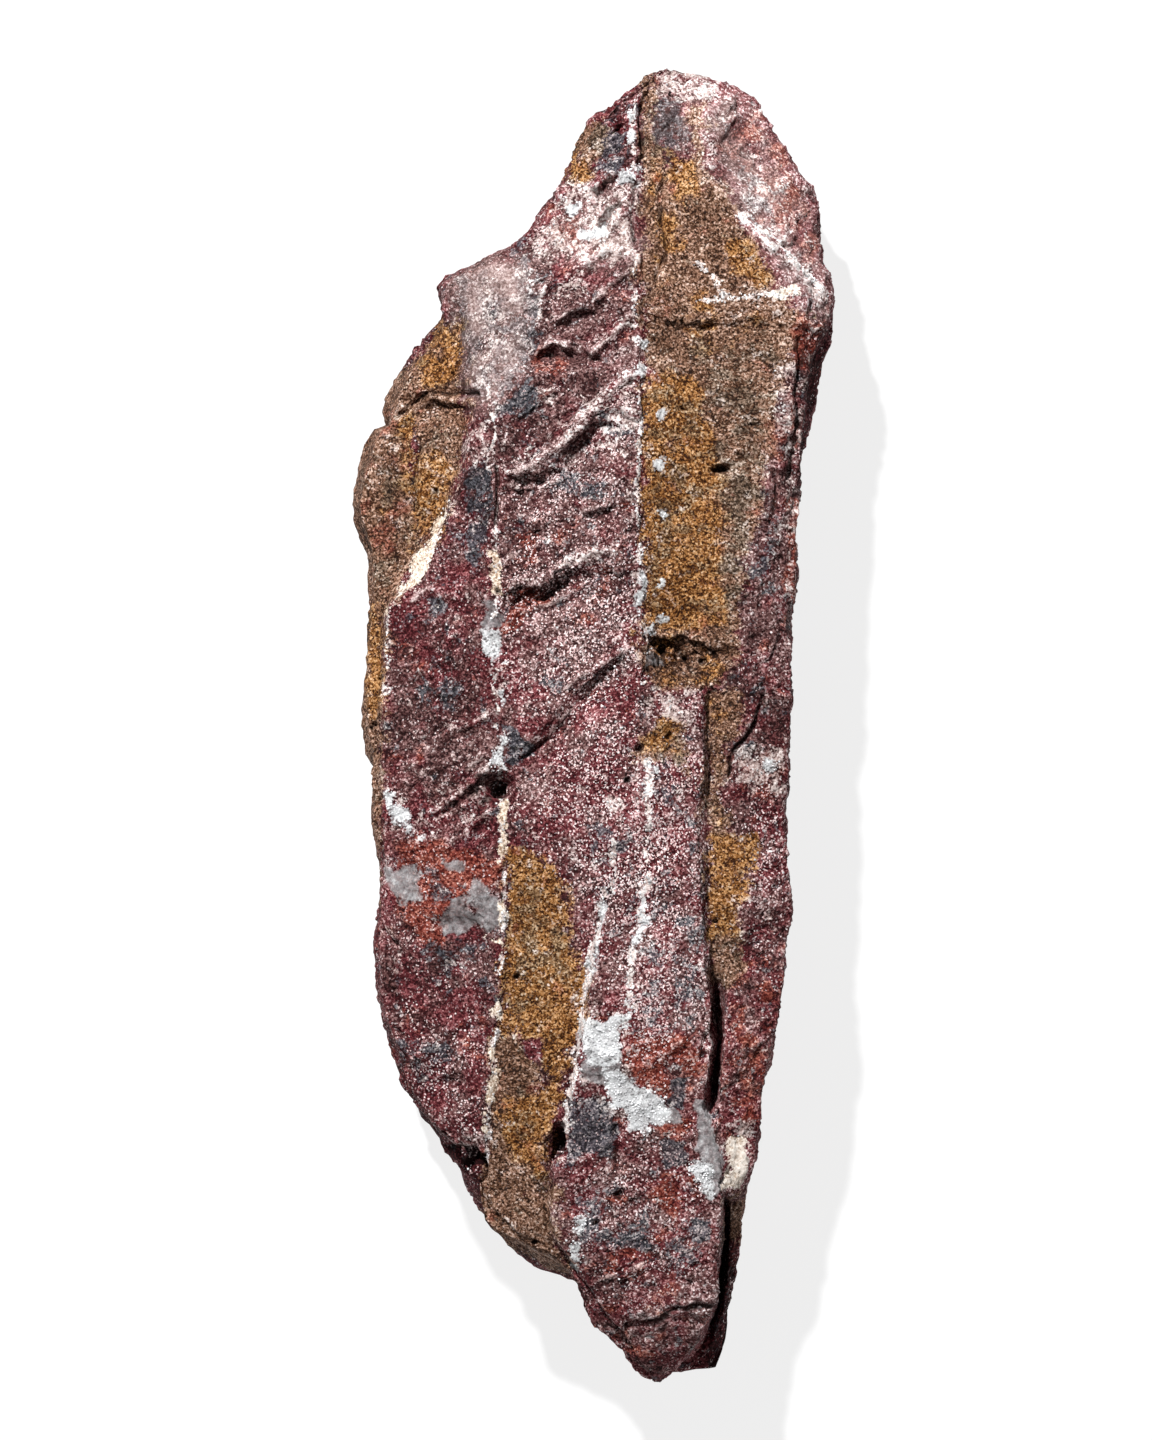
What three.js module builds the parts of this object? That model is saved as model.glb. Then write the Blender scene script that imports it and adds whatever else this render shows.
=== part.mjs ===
// A rough piece of red jasper: one broken lump of banded stone, long and narrow, lying on its back.
// It is a single solid. Its face is a row of bands that run the length of the stone and stand at
// different heights, with quartz seams between them. Units are millimetres and +Z is up. +Y runs along
// the stone to its rounded end, +X across it, and the origin is under the middle of the stone's box, on
// the plane that it rests on.

import * as THREE from "three";

// Driving dimensions.
const LENGTH = 184.6;
const WIDTH = 68.2;
const THICKNESS = 34.6;

// How finely the stone is divided: the step along it, the least distance between two of the lines below,
// and how far from a ridge a place is moved onto it.
const ROW_STEP = 2.12;
const LEAST_GAP = 0.12;
const SNAP = 1;

// Height over which the lumps of the back grow, up from the flat.
const FLAT_FADE = 5;

// Height of the stone's highest part at each place along it, as [y, z].
const CROWN = [
  [92.2, 19], [91, 21], [88, 23.5], [84, 25.5], [76, 28], [66, 30], [56, 31.5], [40, 33], [20, 34],
  [-24, 34], [-40, 33.6], [-56, 32.6], [-68, 31], [-78, 29], [-84, 27], [-88, 24.5], [-90.5, 22], [-92.2, 17],
];

// The outline seen from above, left side and right side, as [y, x].
const LEFT_OUTLINE = [
  [92.2, 8.6], [91.8, 7.5], [91, 6.5], [89.6, 6], [88.9, 4.4], [87.8, 3.7], [86.9, 2.2], [86.2, 0.4],
  [85, -0.4], [82.4, -2.2], [80.3, -3.3], [76.8, -4.3], [74.8, -5], [73, -6.5], [71.4, -8.2], [70.2, -9.3],
  [68.4, -10.1], [67.2, -12], [65.9, -14.4], [64.6, -17], [63.7, -19.6], [63.1, -21.2], [61.7, -22.2],
  [60, -21.6], [57.5, -21.6], [56, -22], [54.6, -23.5], [52.5, -24.6], [50.7, -26.4], [49, -28],
  [47, -28.9], [44.2, -29.3], [42.2, -29], [41.9, -30.6], [40.5, -31.8], [38, -32.6], [35, -33.4],
  [31.5, -33.95], [29.5, -33.7], [27, -32.9], [25, -32.1], [22.5, -31.5], [19, -31.4], [12, -31.9],
  [1, -32.6], [-2, -32.3], [-4.5, -31.8], [-6, -30.8], [-8, -31.2], [-13, -31.1], [-16, -30.6],
  [-22, -29.9], [-28, -30.5], [-32, -30.6], [-41, -29.9], [-44.5, -28.8], [-50.5, -26.9], [-53, -25.2],
  [-55, -24.3], [-57.5, -22.1], [-60, -21.2], [-62.2, -19.6], [-62.6, -18.6], [-65, -17.8], [-68, -16.2],
  [-70.5, -15], [-72, -13], [-73.7, -11.2], [-75.8, -9.4], [-76.6, -7.2], [-77.4, -4.6], [-78.4, -2.3],
  [-80, -1.8], [-82.4, -1.2], [-84.6, 0], [-87, 2.6], [-89.5, 5], [-91.4, 6.6], [-92.2, 8.2],
];
const RIGHT_OUTLINE = [
  [92.2, 12], [91.6, 14], [90.6, 15.6], [90.2, 19.6], [89.6, 21.5], [88, 22.7], [86, 23.4], [83.5, 25.3],
  [79, 28], [77.6, 28.7], [76.5, 30], [75, 30.9], [73, 31.5], [70, 31.9], [65, 32], [63.5, 32.9],
  [62.3, 33.7], [60, 33.95], [57, 33.7], [51, 32.4], [45, 31], [41.5, 30.4], [39, 29.6], [36, 28.9],
  [29, 28.5], [23, 28.3], [21, 28.5], [15.5, 27.5], [13.5, 27.4], [9, 28], [2, 27.8], [-4, 26.9],
  [-14, 26.8], [-25, 27.7], [-29, 27.3], [-39, 26.2], [-43, 25.6], [-47.5, 24.6], [-48.8, 24],
  [-53.5, 23.4], [-56, 23.5], [-59, 23.2], [-65.5, 21.5], [-72, 20.5], [-80, 19.6], [-86.8, 18.4],
  [-90.5, 17.2], [-91.1, 16.2], [-91.4, 10.5], [-92.2, 9.2],
];

// Height of the widest part of the sides, as [y, z].
const LEFT_WAIST = [[92.2, 15.5], [80, 15], [62, 17], [50, 14], [30, 13], [-30, 13], [-60, 12], [-92.2, 11]];
const RIGHT_WAIST = [[92.2, 15.5], [76, 14], [60, 17], [44, 15], [0, 14], [-40, 13], [-66, 10], [-92.2, 10]];

// The lines that the face is drawn on, from the left brow to the right brow. Each place is [y, x, how far
// below the crown]. Where two lines would cross, the one on the right gives way.
const LEFT_BROW = [
  [92.2, 9.2, 1], [90, 7.2, 1.2], [87, 3.6, 2.5], [85, 0.8, 3.2], [80, -2.2, 4], [76, -3.4, 4],
  [72, -6.2, 4.5], [69, -8.8, 4.5], [66.5, -11.5, 5], [64, -16, 6], [62.5, -19.5, 7], [60.5, -20.6, 7.5],
  [56, -20.6, 8.5], [52, -23, 9], [48, -26.6, 9.5], [42, -28.2, 9.5], [40, -30.2, 10], [35, -32, 10.5],
  [30, -32.4, 10.5], [25, -31, 10], [18, -30.6, 9], [4, -31.4, 9], [-4, -31, 8.5], [-10, -30.6, 8],
  [-18, -29.8, 7.5], [-24, -29.4, 6], [-32, -29.6, 6], [-41, -28.8, 6.2], [-48, -26.6, 6], [-53, -24, 5.5],
  [-56, -22.4, 5.2], [-58.5, -19.4, 5], [-60.4, -15.9, 4.5], [-64, -15.6, 4.2], [-68, -15.2, 4.4],
  [-70.3, -14.2, 4.6], [-71.8, -11, 4.8], [-73.2, -7.6, 4.8], [-75.2, -4.8, 4.5], [-77.4, -2, 3.5],
  [-83, -0.2, 3], [-85, 1.4, 3], [-88, 4.8, 3.5], [-90.3, 8, 3.5], [-92.2, 8.4, 4],
];
const STEP_FOOT = [
  [92.2, 9.2, 1], [87, 4, 2.4], [80, -1.6, 3.4], [76, -2.8, 3.6], [70, -7.8, 4.2], [66.5, -11, 4.6],
  [64, -15, 5.4], [62, -18.8, 6.2], [60, -19.6, 6.6], [56, -18.4, 7], [46, -17.9, 6], [40, -18.3, 6],
  [36, -18.9, 6.5], [32, -20, 7.5], [28.5, -21.8, 8], [25, -25, 8.2], [21, -26.6, 8.2], [18.6, -28.6, 8.2],
  [16, -29.4, 8.2], [4, -29.7, 8], [-4, -30, 7.5], [-18, -29.5, 7], [-24, -29.2, 5.8], [-56, -24, 5],
  [-60, -20, 4.6], [-73, -10, 4.6], [-77.4, -4, 3.4], [-90, 6, 3.4], [-92.2, 8, 4],
];
const STEP_TOP = [
  [92.2, 9.2, 1], [80, -1.2, 3.2], [70, -7.2, 4], [64, -14, 4.8], [62, -17.8, 5.4], [56, -17.4, 5.2],
  [46, -16.6, 4], [40, -17.2, 3.6], [36, -17.4, 3.2], [32, -18.2, 3.4], [29, -19.4, 3.6], [26, -20.8, 3.8],
  [22, -22.8, 4], [19.4, -24.6, 4.2], [18, -27.4, 4.6], [16.4, -28.6, 5], [4, -29, 5], [-10, -29.3, 5],
  [-24, -28.6, 4.8], [-56, -23, 4.6], [-60, -19, 4.4], [-73, -9, 4.4], [-77.4, -3, 3.2], [-90, 6.5, 3.2],
  [-92.2, 8, 4],
];
const LEFT_SEAM = [
  [92.2, 9.2, 1], [88, 4.8, 1.6], [84, 2.6, 2], [80, 1.6, 2.2], [76, 0.4, 2.4], [70, -3.6, 2.6],
  [66, -7, 2.8], [62, -11, 2.8], [56, -13.6, 2.6], [46, -14.2, 2], [40, -13.6, 1.6], [20, -13.9, 1.2],
  [10, -14.7, 1.4], [4, -13.8, 1.4], [0, -12.9, 1.4], [-6, -12.9, 1.2], [-9, -13.4, 1.2], [-15, -12.9, 1],
  [-30, -12.3, 1], [-36, -12.9, 1.2], [-48, -14.4, 1.8], [-55, -15, 2.4], [-60, -15.2, 3.4], [-70, -13, 4],
  [-73, -7, 4.2], [-77.4, -2.6, 3], [-90, 7, 3.2], [-92.2, 8, 4],
];
const LEFT_SEAM_INNER = [
  [92.2, 9.2, 1], [88, 5.2, 1.5], [84, 3.2, 1.9], [76, 1, 2.3], [70, -3, 2.5], [62, -10.4, 2.7],
  [56, -13, 2.5], [46, -13.6, 2], [40, -13, 1.7], [20, -13.3, 1.3], [10, -14, 1.4], [4, -13.2, 1.4],
  [0, -12.3, 1.3], [-6, -12.3, 1.2], [-15, -12.3, 1.1], [-18, -12.2, 1.4], [-30, -11.7, 1.5],
  [-36, -12.3, 1.7], [-48, -13.8, 2.3], [-60, -14.6, 3.3], [-70, -12, 3.8], [-73, -6.6, 4],
  [-77.4, -2.4, 2.9], [-90, 7.2, 3.2], [-92.2, 8, 4],
];
const MIDDLE_SEAM = [
  [92.2, 9.4, 0.8], [90, 6.6, 1], [86, 6.4, 0.8], [80, 6, 0.6], [70, 5.7, 0.4], [60, 6.2, 0.3],
  [50, 6.4, 0.2], [40, 6.2, 0], [30, 6, 0], [20, 6.4, 0], [12, 6.9, 0.1], [0, 6.2, 0], [-6, 5.4, 0],
  [-12, 4.6, 0], [-20, 2.8, 0.2], [-24, 1.6, 1], [-27, 0.8, 1.6], [-33, -0.6, 1.9], [-48, -2.8, 2.1],
  [-54, -4.1, 2.2], [-58, -4.8, 2.3], [-62, -6.1, 2.4], [-66, -6.6, 2.6], [-70, -6.4, 3], [-73, -5, 3.4],
  [-77, -1.8, 3], [-90, 7.6, 3], [-92.2, 8, 4],
];
const MIDDLE_SEAM_INNER = [
  [92.2, 9.6, 1.1], [88, 7, 1.4], [80, 6.5, 1.2], [60, 6.8, 0.8], [50, 7, 0.7], [30, 6.6, 0.5],
  [14, 7.4, 0.6], [12, 7.5, 0.9], [6.4, 7.2, 0.9], [5, 7, 0], [-12, 5.1, -0.2], [-24, 2.2, -0.2], [-27, 1.4, -0.3],
  [-40, -1, -0.4], [-54, -3.5, -0.3], [-62, -5.5, 0], [-70, -5.6, 0.4], [-73, -4.2, 0.8], [-77, -1.2, 1.2],
  [-84, 2, 2], [-90, 8, 2.8], [-92.2, 8.6, 4],
];
const TONGUE_EDGE = [
  [92.2, 10, 1.2], [86, 10.8, 1.5], [70, 11, 1.5], [50, 11, 1.2], [20, 11, 1], [13, 11.6, 1.2],
  [9, 13, 1.3], [5.4, 14.7, 1.3], [5, 14.8, 0.2], [0, 14.9, 0.1], [-5, 15.3, 0.1], [-12, 14.3, 0.1], [-20, 14.3, 0.1],
  [-32, 15.4, 0.2], [-36, 16, 0.3], [-44, 16.1, 0.4], [-53, 15.2, 0.8], [-58, 16.2, 0.9], [-64, 17.4, 1],
  [-70, 17.6, 1], [-74, 17.4, 1], [-80, 16.6, 1.2], [-84, 15.6, 2], [-87, 13.8, 3], [-89.5, 12, 3.6],
  [-92.2, 8.9, 4],
];
const TONGUE_FOOT = [
  [92.2, 10.1, 1.2], [70, 12, 1.6], [50, 12, 1.4], [13, 13, 1.4], [5.4, 16, 1.6], [4.8, 15.9, 2],
  [0, 15.9, 2.2], [-9, 15.9, 2.2], [-20, 15.7, 2.2], [-30, 16.2, 2.4], [-34, 16.7, 3], [-37, 17, 9], [-44, 17.2, 11],
  [-50, 16.7, 10], [-52.5, 16.4, 6], [-54, 16.6, 1.6], [-58, 17, 1.2], [-64, 17.9, 1.4], [-65.6, 18.1, 3],
  [-66.6, 18.2, 14], [-70, 18.2, 16], [-76, 17.9, 16], [-80, 17.5, 16], [-84, 16.7, 15], [-88, 15, 12],
  [-92.2, 9, 5],
];
const FACE_EDGE = [
  [92.2, 10.6, 1.2], [90, 15.6, 1], [86, 15.4, 0.9], [80, 14.5, 0.8], [75, 16.6, 0.9], [72.3, 20, 1.2],
  [68, 23, 1.8], [63.5, 26, 2.4], [60.6, 28.4, 3], [57, 29.2, 3.4], [50, 28, 2.4], [44, 27, 1.8],
  [38, 26, 1.6], [26, 24.4, 1.7], [18, 22.8, 1.8], [10, 21.6, 1.8], [4, 22.6, 1.8], [0, 21, 1.8],
  [-4, 19, 1.9], [-8, 18, 2.2], [-12, 18.6, 2.6], [-16, 21, 2.6], [-22, 21.8, 2.6], [-28, 20.6, 2.6],
  [-33, 19.4, 2.6], [-36, 18.4, 2.2], [-42, 18.3, 1.8], [-50, 17.6, 1.8], [-58, 17.7, 2], [-64, 18.4, 2.4],
  [-65.6, 18.8, 3.4], [-66.6, 19.1, 8.5], [-70, 19.1, 9.5], [-76, 18.8, 10.5], [-80, 18.5, 11.5],
  [-84, 18, 13], [-88, 16.4, 12.5], [-92.2, 9, 6],
];
const RIGHT_BROW = [
  [92.2, 11.2, 1.4], [90, 20, 3], [88, 22, 4.4], [84, 24.4, 6], [80, 26.6, 7], [76, 29.6, 8],
  [72, 31, 8.5], [66, 31.4, 9], [62, 33, 8.5], [59, 33, 8], [56, 32, 6.5], [52, 30.6, 5], [47, 29.4, 4.4],
  [44, 29.2, 4], [40, 28.8, 3.8], [35, 28.4, 3.8], [26, 28, 3.8], [20, 28, 4], [14, 27, 4], [9, 27.5, 4],
  [0, 27.2, 4], [-14, 26.4, 4], [-25, 27.2, 4.2], [-30, 26.8, 4.4], [-43, 25.1, 4.4], [-49, 23.5, 4.6],
  [-56, 23, 5], [-62, 22.1, 5.4], [-65, 21.2, 6.5], [-66.6, 21, 10.5], [-70, 20.8, 12], [-76, 20.2, 13], [-80, 19.5, 14], [-86, 18.2, 15],
  [-91, 16, 10], [-92.2, 9.1, 7],
];

// The back. The heel is the turn from the sides to the underside: how far it stands in from the outline
// and how high it is, as [y, inset, z]. The flat that the stone rests on is between two lines, [y, x],
// and the same lines run on past it to both ends of the stone, at the height given as [y, z].
const LEFT_HEEL = [
  [92.2, 2, 12], [80, 6, 9], [66, 9, 7], [50, 6, 4.6], [34, 4, 5.4], [16, 6.6, 4], [-4, 5, 6], [-22, 8, 4.4],
  [-40, 5.4, 5.6], [-60, 7, 6.4], [-76, 6, 7], [-92.2, 2, 8.6],
];
const RIGHT_HEEL = [
  [92.2, 2, 12], [82, 7, 8.6], [64, 5, 6.4], [46, 8, 4.8], [26, 5, 6.4], [6, 6, 4.4], [-18, 8, 5.4],
  [-38, 5, 4.6], [-56, 6, 6.6], [-74, 4, 6.4], [-92.2, 2, 8.6],
];
const REST_LEFT = [
  [92.2, 9], [70, 2], [52, -9], [40, -16], [18, -12.6], [-4, -17], [-26, -13], [-44, -15], [-60, -8], [-92.2, 8.4],
];
const REST_RIGHT = [
  [92.2, 11], [70, 17], [52, 19], [36, 13], [14, 16.4], [-8, 11], [-30, 14], [-46, 9.6], [-60, 12], [-92.2, 9],
];
const REST_HEIGHT = [[92.2, 11.5], [80, 7], [66, 3], [50, 0], [-46, 0], [-62, 2], [-78, 4.8], [-92.2, 8]];

// Rows that must fall exactly on a corner of the outline or of a step.
const KEY_ROWS = [
  92.2, 91.5, 90.3, 86.2, 63.3, 61.7, 44.4, 42.2, 41.7, 18.6, 5.6, 4.8, -36.2, -52.6, -57.5, -60.4, -62.5,
  -65.5, -66.7, -78.4, -84.6, -90.6, -91.5, -92.2,
];

// Ridges left by the blow that split the stone. Each has a lit side that rises to the crest and a shaded
// side that falls below the level it began at. Crests run from lower left to upper right.
const RIDGES = [
  { crest: [[-13.2, 34], [-8.5, 34.6], [-6.5, 35.4], [-3.3, 39.3], [0.2, 42.8], [3, 44.4], [5.8, 45]],
    height: 0.9, rise: 2.6, fall: 1.5, drop: 1.1, run: 7 },
  { crest: [[-12.8, 18.2], [-7, 20.2], [-3, 22], [3.6, 23.8]], height: 0.8, rise: 2.4, fall: 2, drop: 1, run: 6 },
  { crest: [[-12.6, -4.6], [-9, -1.6], [-6.5, 1], [-3.6, 3.8], [0, 7.4], [4.4, 10.6]],
    height: 0.5, rise: 4, fall: 1.6, drop: 1.1, run: 6 },
  { crest: [[-9.4, 51.4], [-7, 53], [-3.6, 53.4], [0.6, 52.6]], height: 0.5, rise: 3, fall: 1.4, drop: 1.7, run: 2.4 },
  { crest: [[-6.6, 55.6], [-3, 58.2], [3.4, 60.4]], height: 0.5, rise: 2.4, fall: 1.6, drop: 0.7, run: 4 },
  { crest: [[-24, -13], [-19, -9.8], [-16, -7], [-13.6, -4.4]], height: 0.6, rise: 3, fall: 2, drop: 0.5, run: 4 },
  { crest: [[-22, -2], [-17.5, -0.4], [-13.2, 2.4]], height: 0.5, rise: 2, fall: 1.4, drop: 0.5, run: 4 },
  { crest: [[7.4, 57], [11, 56.2], [20, 56.4], [27, 55.8]], height: 0.2, rise: 3, fall: 0.9, drop: 0.7, run: 14 },
  { crest: [[-28.6, 43], [-26, 44.8], [-22, 46], [-17.8, 45.6]], height: 0.7, rise: 2.6, fall: 1.2, drop: 1, run: 6 },
  { crest: [[0, 74], [3, 76.4], [5.4, 77.4]], height: 0.5, rise: 2, fall: 1.4, drop: 0.8, run: 3 },
  { crest: [[-23.6, 17.4], [-19, 18.6], [-16, 18.8]], height: 0.5, rise: 2, fall: 1.2, drop: 0.5, run: 4 },
  { crest: [[-27.6, 6], [-22, 8], [-16, 11.6]], height: 0.4, rise: 3, fall: 1.6, drop: 0.4, run: 5 },
  { crest: [[-28, -29.6], [-25, -27.2], [-20, -25.4], [-14, -24.6]], height: 0.4, rise: 3, fall: 1.5, drop: 0.5, run: 5 },
  { crest: [[-28.6, -43.6], [-25, -46.6], [-20, -48.4], [-16, -48.6]], height: 0.3, rise: 4, fall: 1.4, drop: 0.7, run: 6 },
  { crest: [[0.4, -17.6], [4, -14.4], [9, -12.6], [13.6, -12.4]], height: 0.3, rise: 4, fall: 1.6, drop: 0.4, run: 5 },
  { crest: [[-4, -64.6], [2, -63.4], [8, -64.4], [16, -63]], height: 0.15, rise: 4, fall: 1.8, drop: 0.3, run: 7 },
  { crest: [[3.4, -84.4], [8, -83], [10.5, -81.8], [15.4, -81]], height: 0.3, rise: 2, fall: 1, drop: 0.8, run: 4 },
  { crest: [[-13, 28.4], [-8, 28.6], [-3, 30], [3, 31.6]], height: 0.4, rise: 3, fall: 1.6, drop: 0.5, run: 4 },
  { crest: [[20.4, 38], [22, 41], [25.4, 44]], height: 0.2, rise: 2, fall: 1.4, drop: 0.6, run: 4 },
  { crest: [[19, -28], [22, -26.4], [26, -26.6]], height: 0.3, rise: 3, fall: 1.4, drop: 0.5, run: 5 },
  { crest: [[18.6, -46], [20.6, -44.4], [24, -44.6]], height: 0.3, rise: 3, fall: 1.4, drop: 0.5, run: 5 },
];

// Hollows: an outline, how deep, and how wide the slope is round it.
const HOLLOWS = [
  { outline: [[7.4, 13.4], [10, 13.2], [17, 13], [20, 9], [17, 5.6], [9, 5.6], [7.6, 8]], depth: 2.2, slope: 2 },
  { outline: [[8.2, 0.8], [12.8, 0], [13.4, -4], [10.6, -5.4], [8.4, -3]], depth: 0.8, slope: 1 },
  { outline: [[15.6, 37.6], [18.8, 38], [19, 35], [16.6, 34]], depth: 1.6, slope: 1.2 },
  { outline: [[-4.6, -54.6], [-4, -57], [-4.8, -59.4], [-5.8, -61.6], [-6.6, -60], [-6, -56.6]], depth: 5, slope: 0.8 },
  { outline: [[0, 73.6], [4, 74.4], [3.6, 71], [0.4, 69.4]], depth: 0.9, slope: 1.2 },
];

// Round holes where a seam has weathered out: place, radius across and along, depth.
const HOLES = [
  { at: [-13.2, -8.8], across: 1.7, along: 1.9, depth: 4 },
  { at: [7, -3.1], across: 1.2, along: 0.8, depth: 1.4 },
];

// Flat breaks on the sides and back: a point on each break and the direction that it faces.
const BREAKS = [
  { at: [-27, 34, 8], facing: [-0.86, 0.1, -0.5] },
  { at: [-29, 8, 7.5], facing: [-0.9, -0.12, -0.42] },
  { at: [-27, -24, 6], facing: [-0.78, -0.1, -0.62] },
  { at: [-19, -50, 5], facing: [-0.62, -0.4, -0.67] },
  { at: [27, 56, 8], facing: [0.72, 0.2, -0.66] },
  { at: [25.6, 26, 6.4], facing: [0.88, -0.1, -0.46] },
  { at: [24.4, -8, 6], facing: [0.8, 0.1, -0.59] },
  { at: [22.4, -38, 6], facing: [0.84, -0.2, -0.5] },
  { at: [20, 84, 9], facing: [0.4, 0.6, -0.69] },
  { at: [-9, 66, 8], facing: [-0.46, 0.62, -0.63] },
  { at: [4, -84, 6.4], facing: [-0.3, -0.62, -0.72] },
];

// Roughness of the break, as the distance between lumps and their height: on the face, and on the sides
// and back, where the stone is coarser.
const FACE_LUMPS = [
  { spacing: 9, height: 0.5 },
  { spacing: 4.4, height: 0.3 },
];
const BACK_LUMPS = [
  { spacing: 17, height: 1.8 },
  { spacing: 7, height: 1 },
];

const clamp = (v, low, high) => Math.min(Math.max(v, low), high);
const smooth = (t) => { const c = clamp(t, 0, 1); return c * c * (3 - 2 * c); };

// A row of the table at y: the tables run from the largest y down, with straight lines between places.
function along(table, y) {
  const last = table.length - 1;
  if (y >= table[0][0]) return table[0].slice(1);
  if (y <= table[last][0]) return table[last].slice(1);
  const i = table.findIndex((row) => row[0] <= y);
  const [above, below] = [table[i - 1], table[i]];
  const t = (above[0] - y) / (above[0] - below[0]);
  return above.slice(1).map((v, k) => v + t * (below[k + 1] - v));
}

// Where the rows are: every key row, and equal steps between them.
function rowPlaces() {
  const places = [];
  for (let i = 0; i + 1 < KEY_ROWS.length; i++) {
    const [from, to] = [KEY_ROWS[i], KEY_ROWS[i + 1]];
    const steps = Math.max(1, Math.round((from - to) / ROW_STEP));
    for (let s = 0; s < steps; s++) places.push(from + ((to - from) * s) / steps);
  }
  places.push(KEY_ROWS[KEY_ROWS.length - 1]);
  return places;
}

// Nearest place on a path: distance, signed so that the right-hand side is positive, the direction to
// the right there, and how far along the path it is, from 0 to 1.
function nearest(path, x, y) {
  const lengths = path.slice(1).map((p, i) => Math.hypot(p[0] - path[i][0], p[1] - path[i][1]));
  const total = lengths.reduce((a, b) => a + b, 0);
  let best = { distance: Infinity, share: 0 };
  let before = 0;
  for (let i = 0; i < lengths.length; i++) {
    const [ax, ay] = path[i];
    const [ux, uy] = [(path[i + 1][0] - ax) / lengths[i], (path[i + 1][1] - ay) / lengths[i]];
    const t = clamp((x - ax) * ux + (y - ay) * uy, 0, lengths[i]);
    const [dx, dy] = [x - ax - t * ux, y - ay - t * uy];
    const d = Math.hypot(dx, dy);
    if (d < Math.abs(best.distance)) {
      const side = ux * dy - uy * dx > 0 ? -1 : 1;
      best = { distance: d * side, right: d ? [(dx * side) / d, (dy * side) / d] : [uy, -ux], share: (before + t) / total };
    }
    before += lengths[i];
  }
  return best;
}

// Distance inside a closed outline, negative outside it.
function depthInside(outline, x, y) {
  const closed = [...outline, outline[0]];
  const d = Math.abs(nearest(closed, x, y).distance);
  let inside = false;
  for (let i = 0; i < outline.length; i++) {
    const [[ax, ay], [bx, by]] = [closed[i], closed[i + 1]];
    if (ay > y !== by > y && x < ax + ((y - ay) / (by - ay)) * (bx - ax)) inside = !inside;
  }
  return inside ? d : -d;
}

function ridgeHeight(ridge, x, y) {
  const END = 0.1;
  const { distance: d, share } = nearest(ridge.crest, x, y);
  const ends = smooth(share / END) * smooth((1 - share) / END);
  if (d < 0) return ends * ridge.height * smooth(1 + d / ridge.rise);
  if (d < ridge.fall) return ends * (ridge.height - (ridge.height + ridge.drop) * smooth(d / ridge.fall));
  return -ends * ridge.drop * smooth(1 - (d - ridge.fall) / ridge.run);
}

function holeDepth(hole, x, y) {
  const r = Math.hypot((x - hole.at[0]) / hole.across, (y - hole.at[1]) / hole.along);
  return hole.depth * clamp(1 - r * r, 0, 1);
}

// Everything that stands up from the face or goes down into it, at one place.
function relief(x, y) {
  const ridges = RIDGES.reduce((sum, ridge) => sum + ridgeHeight(ridge, x, y), 0);
  const hollows = HOLLOWS.reduce((sum, h) => sum + h.depth * smooth(depthInside(h.outline, x, y) / h.slope), 0);
  const holes = HOLES.reduce((sum, hole) => sum + holeDepth(hole, x, y), 0);
  return ridges - hollows - holes;
}

// One cross-section of the stone: its corner lines in order round it, as [x, z, cells to the next].
function section(y) {
  const crown = along(CROWN, y)[0];
  const left = along(LEFT_OUTLINE, y)[0];
  const right = along(RIGHT_OUTLINE, y)[0];
  const lines = [
    [LEFT_BROW, 3], [STEP_FOOT, 1], [STEP_TOP, 5], [LEFT_SEAM, 1], [LEFT_SEAM_INNER, 8], [MIDDLE_SEAM, 1],
    [MIDDLE_SEAM_INNER, 4], [TONGUE_EDGE, 3], [TONGUE_FOOT, 2], [FACE_EDGE, 4], [RIGHT_BROW, 4],
  ];
  const face = [];
  lines.forEach(([line, cells], i) => {
    const [x, below] = along(line, y);
    const low = i ? face[i - 1][0] + LEAST_GAP : left + LEAST_GAP;
    const high = right - LEAST_GAP * (lines.length - i);
    face.push([clamp(x, low, Math.max(low, high)), crown - below, cells]);
  });
  const [leftInset, leftHeel] = along(LEFT_HEEL, y);
  const [rightInset, rightHeel] = along(RIGHT_HEEL, y);
  const most = (right - left) / 4;
  const heelLeft = left + Math.min(leftInset, most);
  const heelRight = right - Math.min(rightInset, most);
  const rest = along(REST_HEIGHT, y)[0];
  const restRight = clamp(along(REST_RIGHT, y)[0], heelLeft + 2 * LEAST_GAP, heelRight - LEAST_GAP);
  const restLeft = clamp(along(REST_LEFT, y)[0], heelLeft + LEAST_GAP, restRight - LEAST_GAP);
  return [
    [left, along(LEFT_WAIST, y)[0], 4],
    ...face,
    [right, along(RIGHT_WAIST, y)[0], 2],
    [heelRight, rightHeel, 3],
    [restRight, rest, 3],
    [restLeft, rest, 3],
    [heelLeft, leftHeel, 2],
  ];
}

// Moves a place on the face onto the crest or the foot of a ridge that it is close to, so that the ridge
// comes out as a clean edge.
function ontoRidge(x, y) {
  for (const { crest, fall } of RIDGES) {
    const { distance: d, right, share } = nearest(crest, x, y);
    if (share === 0 || share === 1 || d < -SNAP || d > fall + SNAP) continue;
    const move = (d < fall / 2 ? 0 : fall) - d;
    return [x + move * right[0], y + move * right[1]];
  }
  return [x, y];
}

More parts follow.
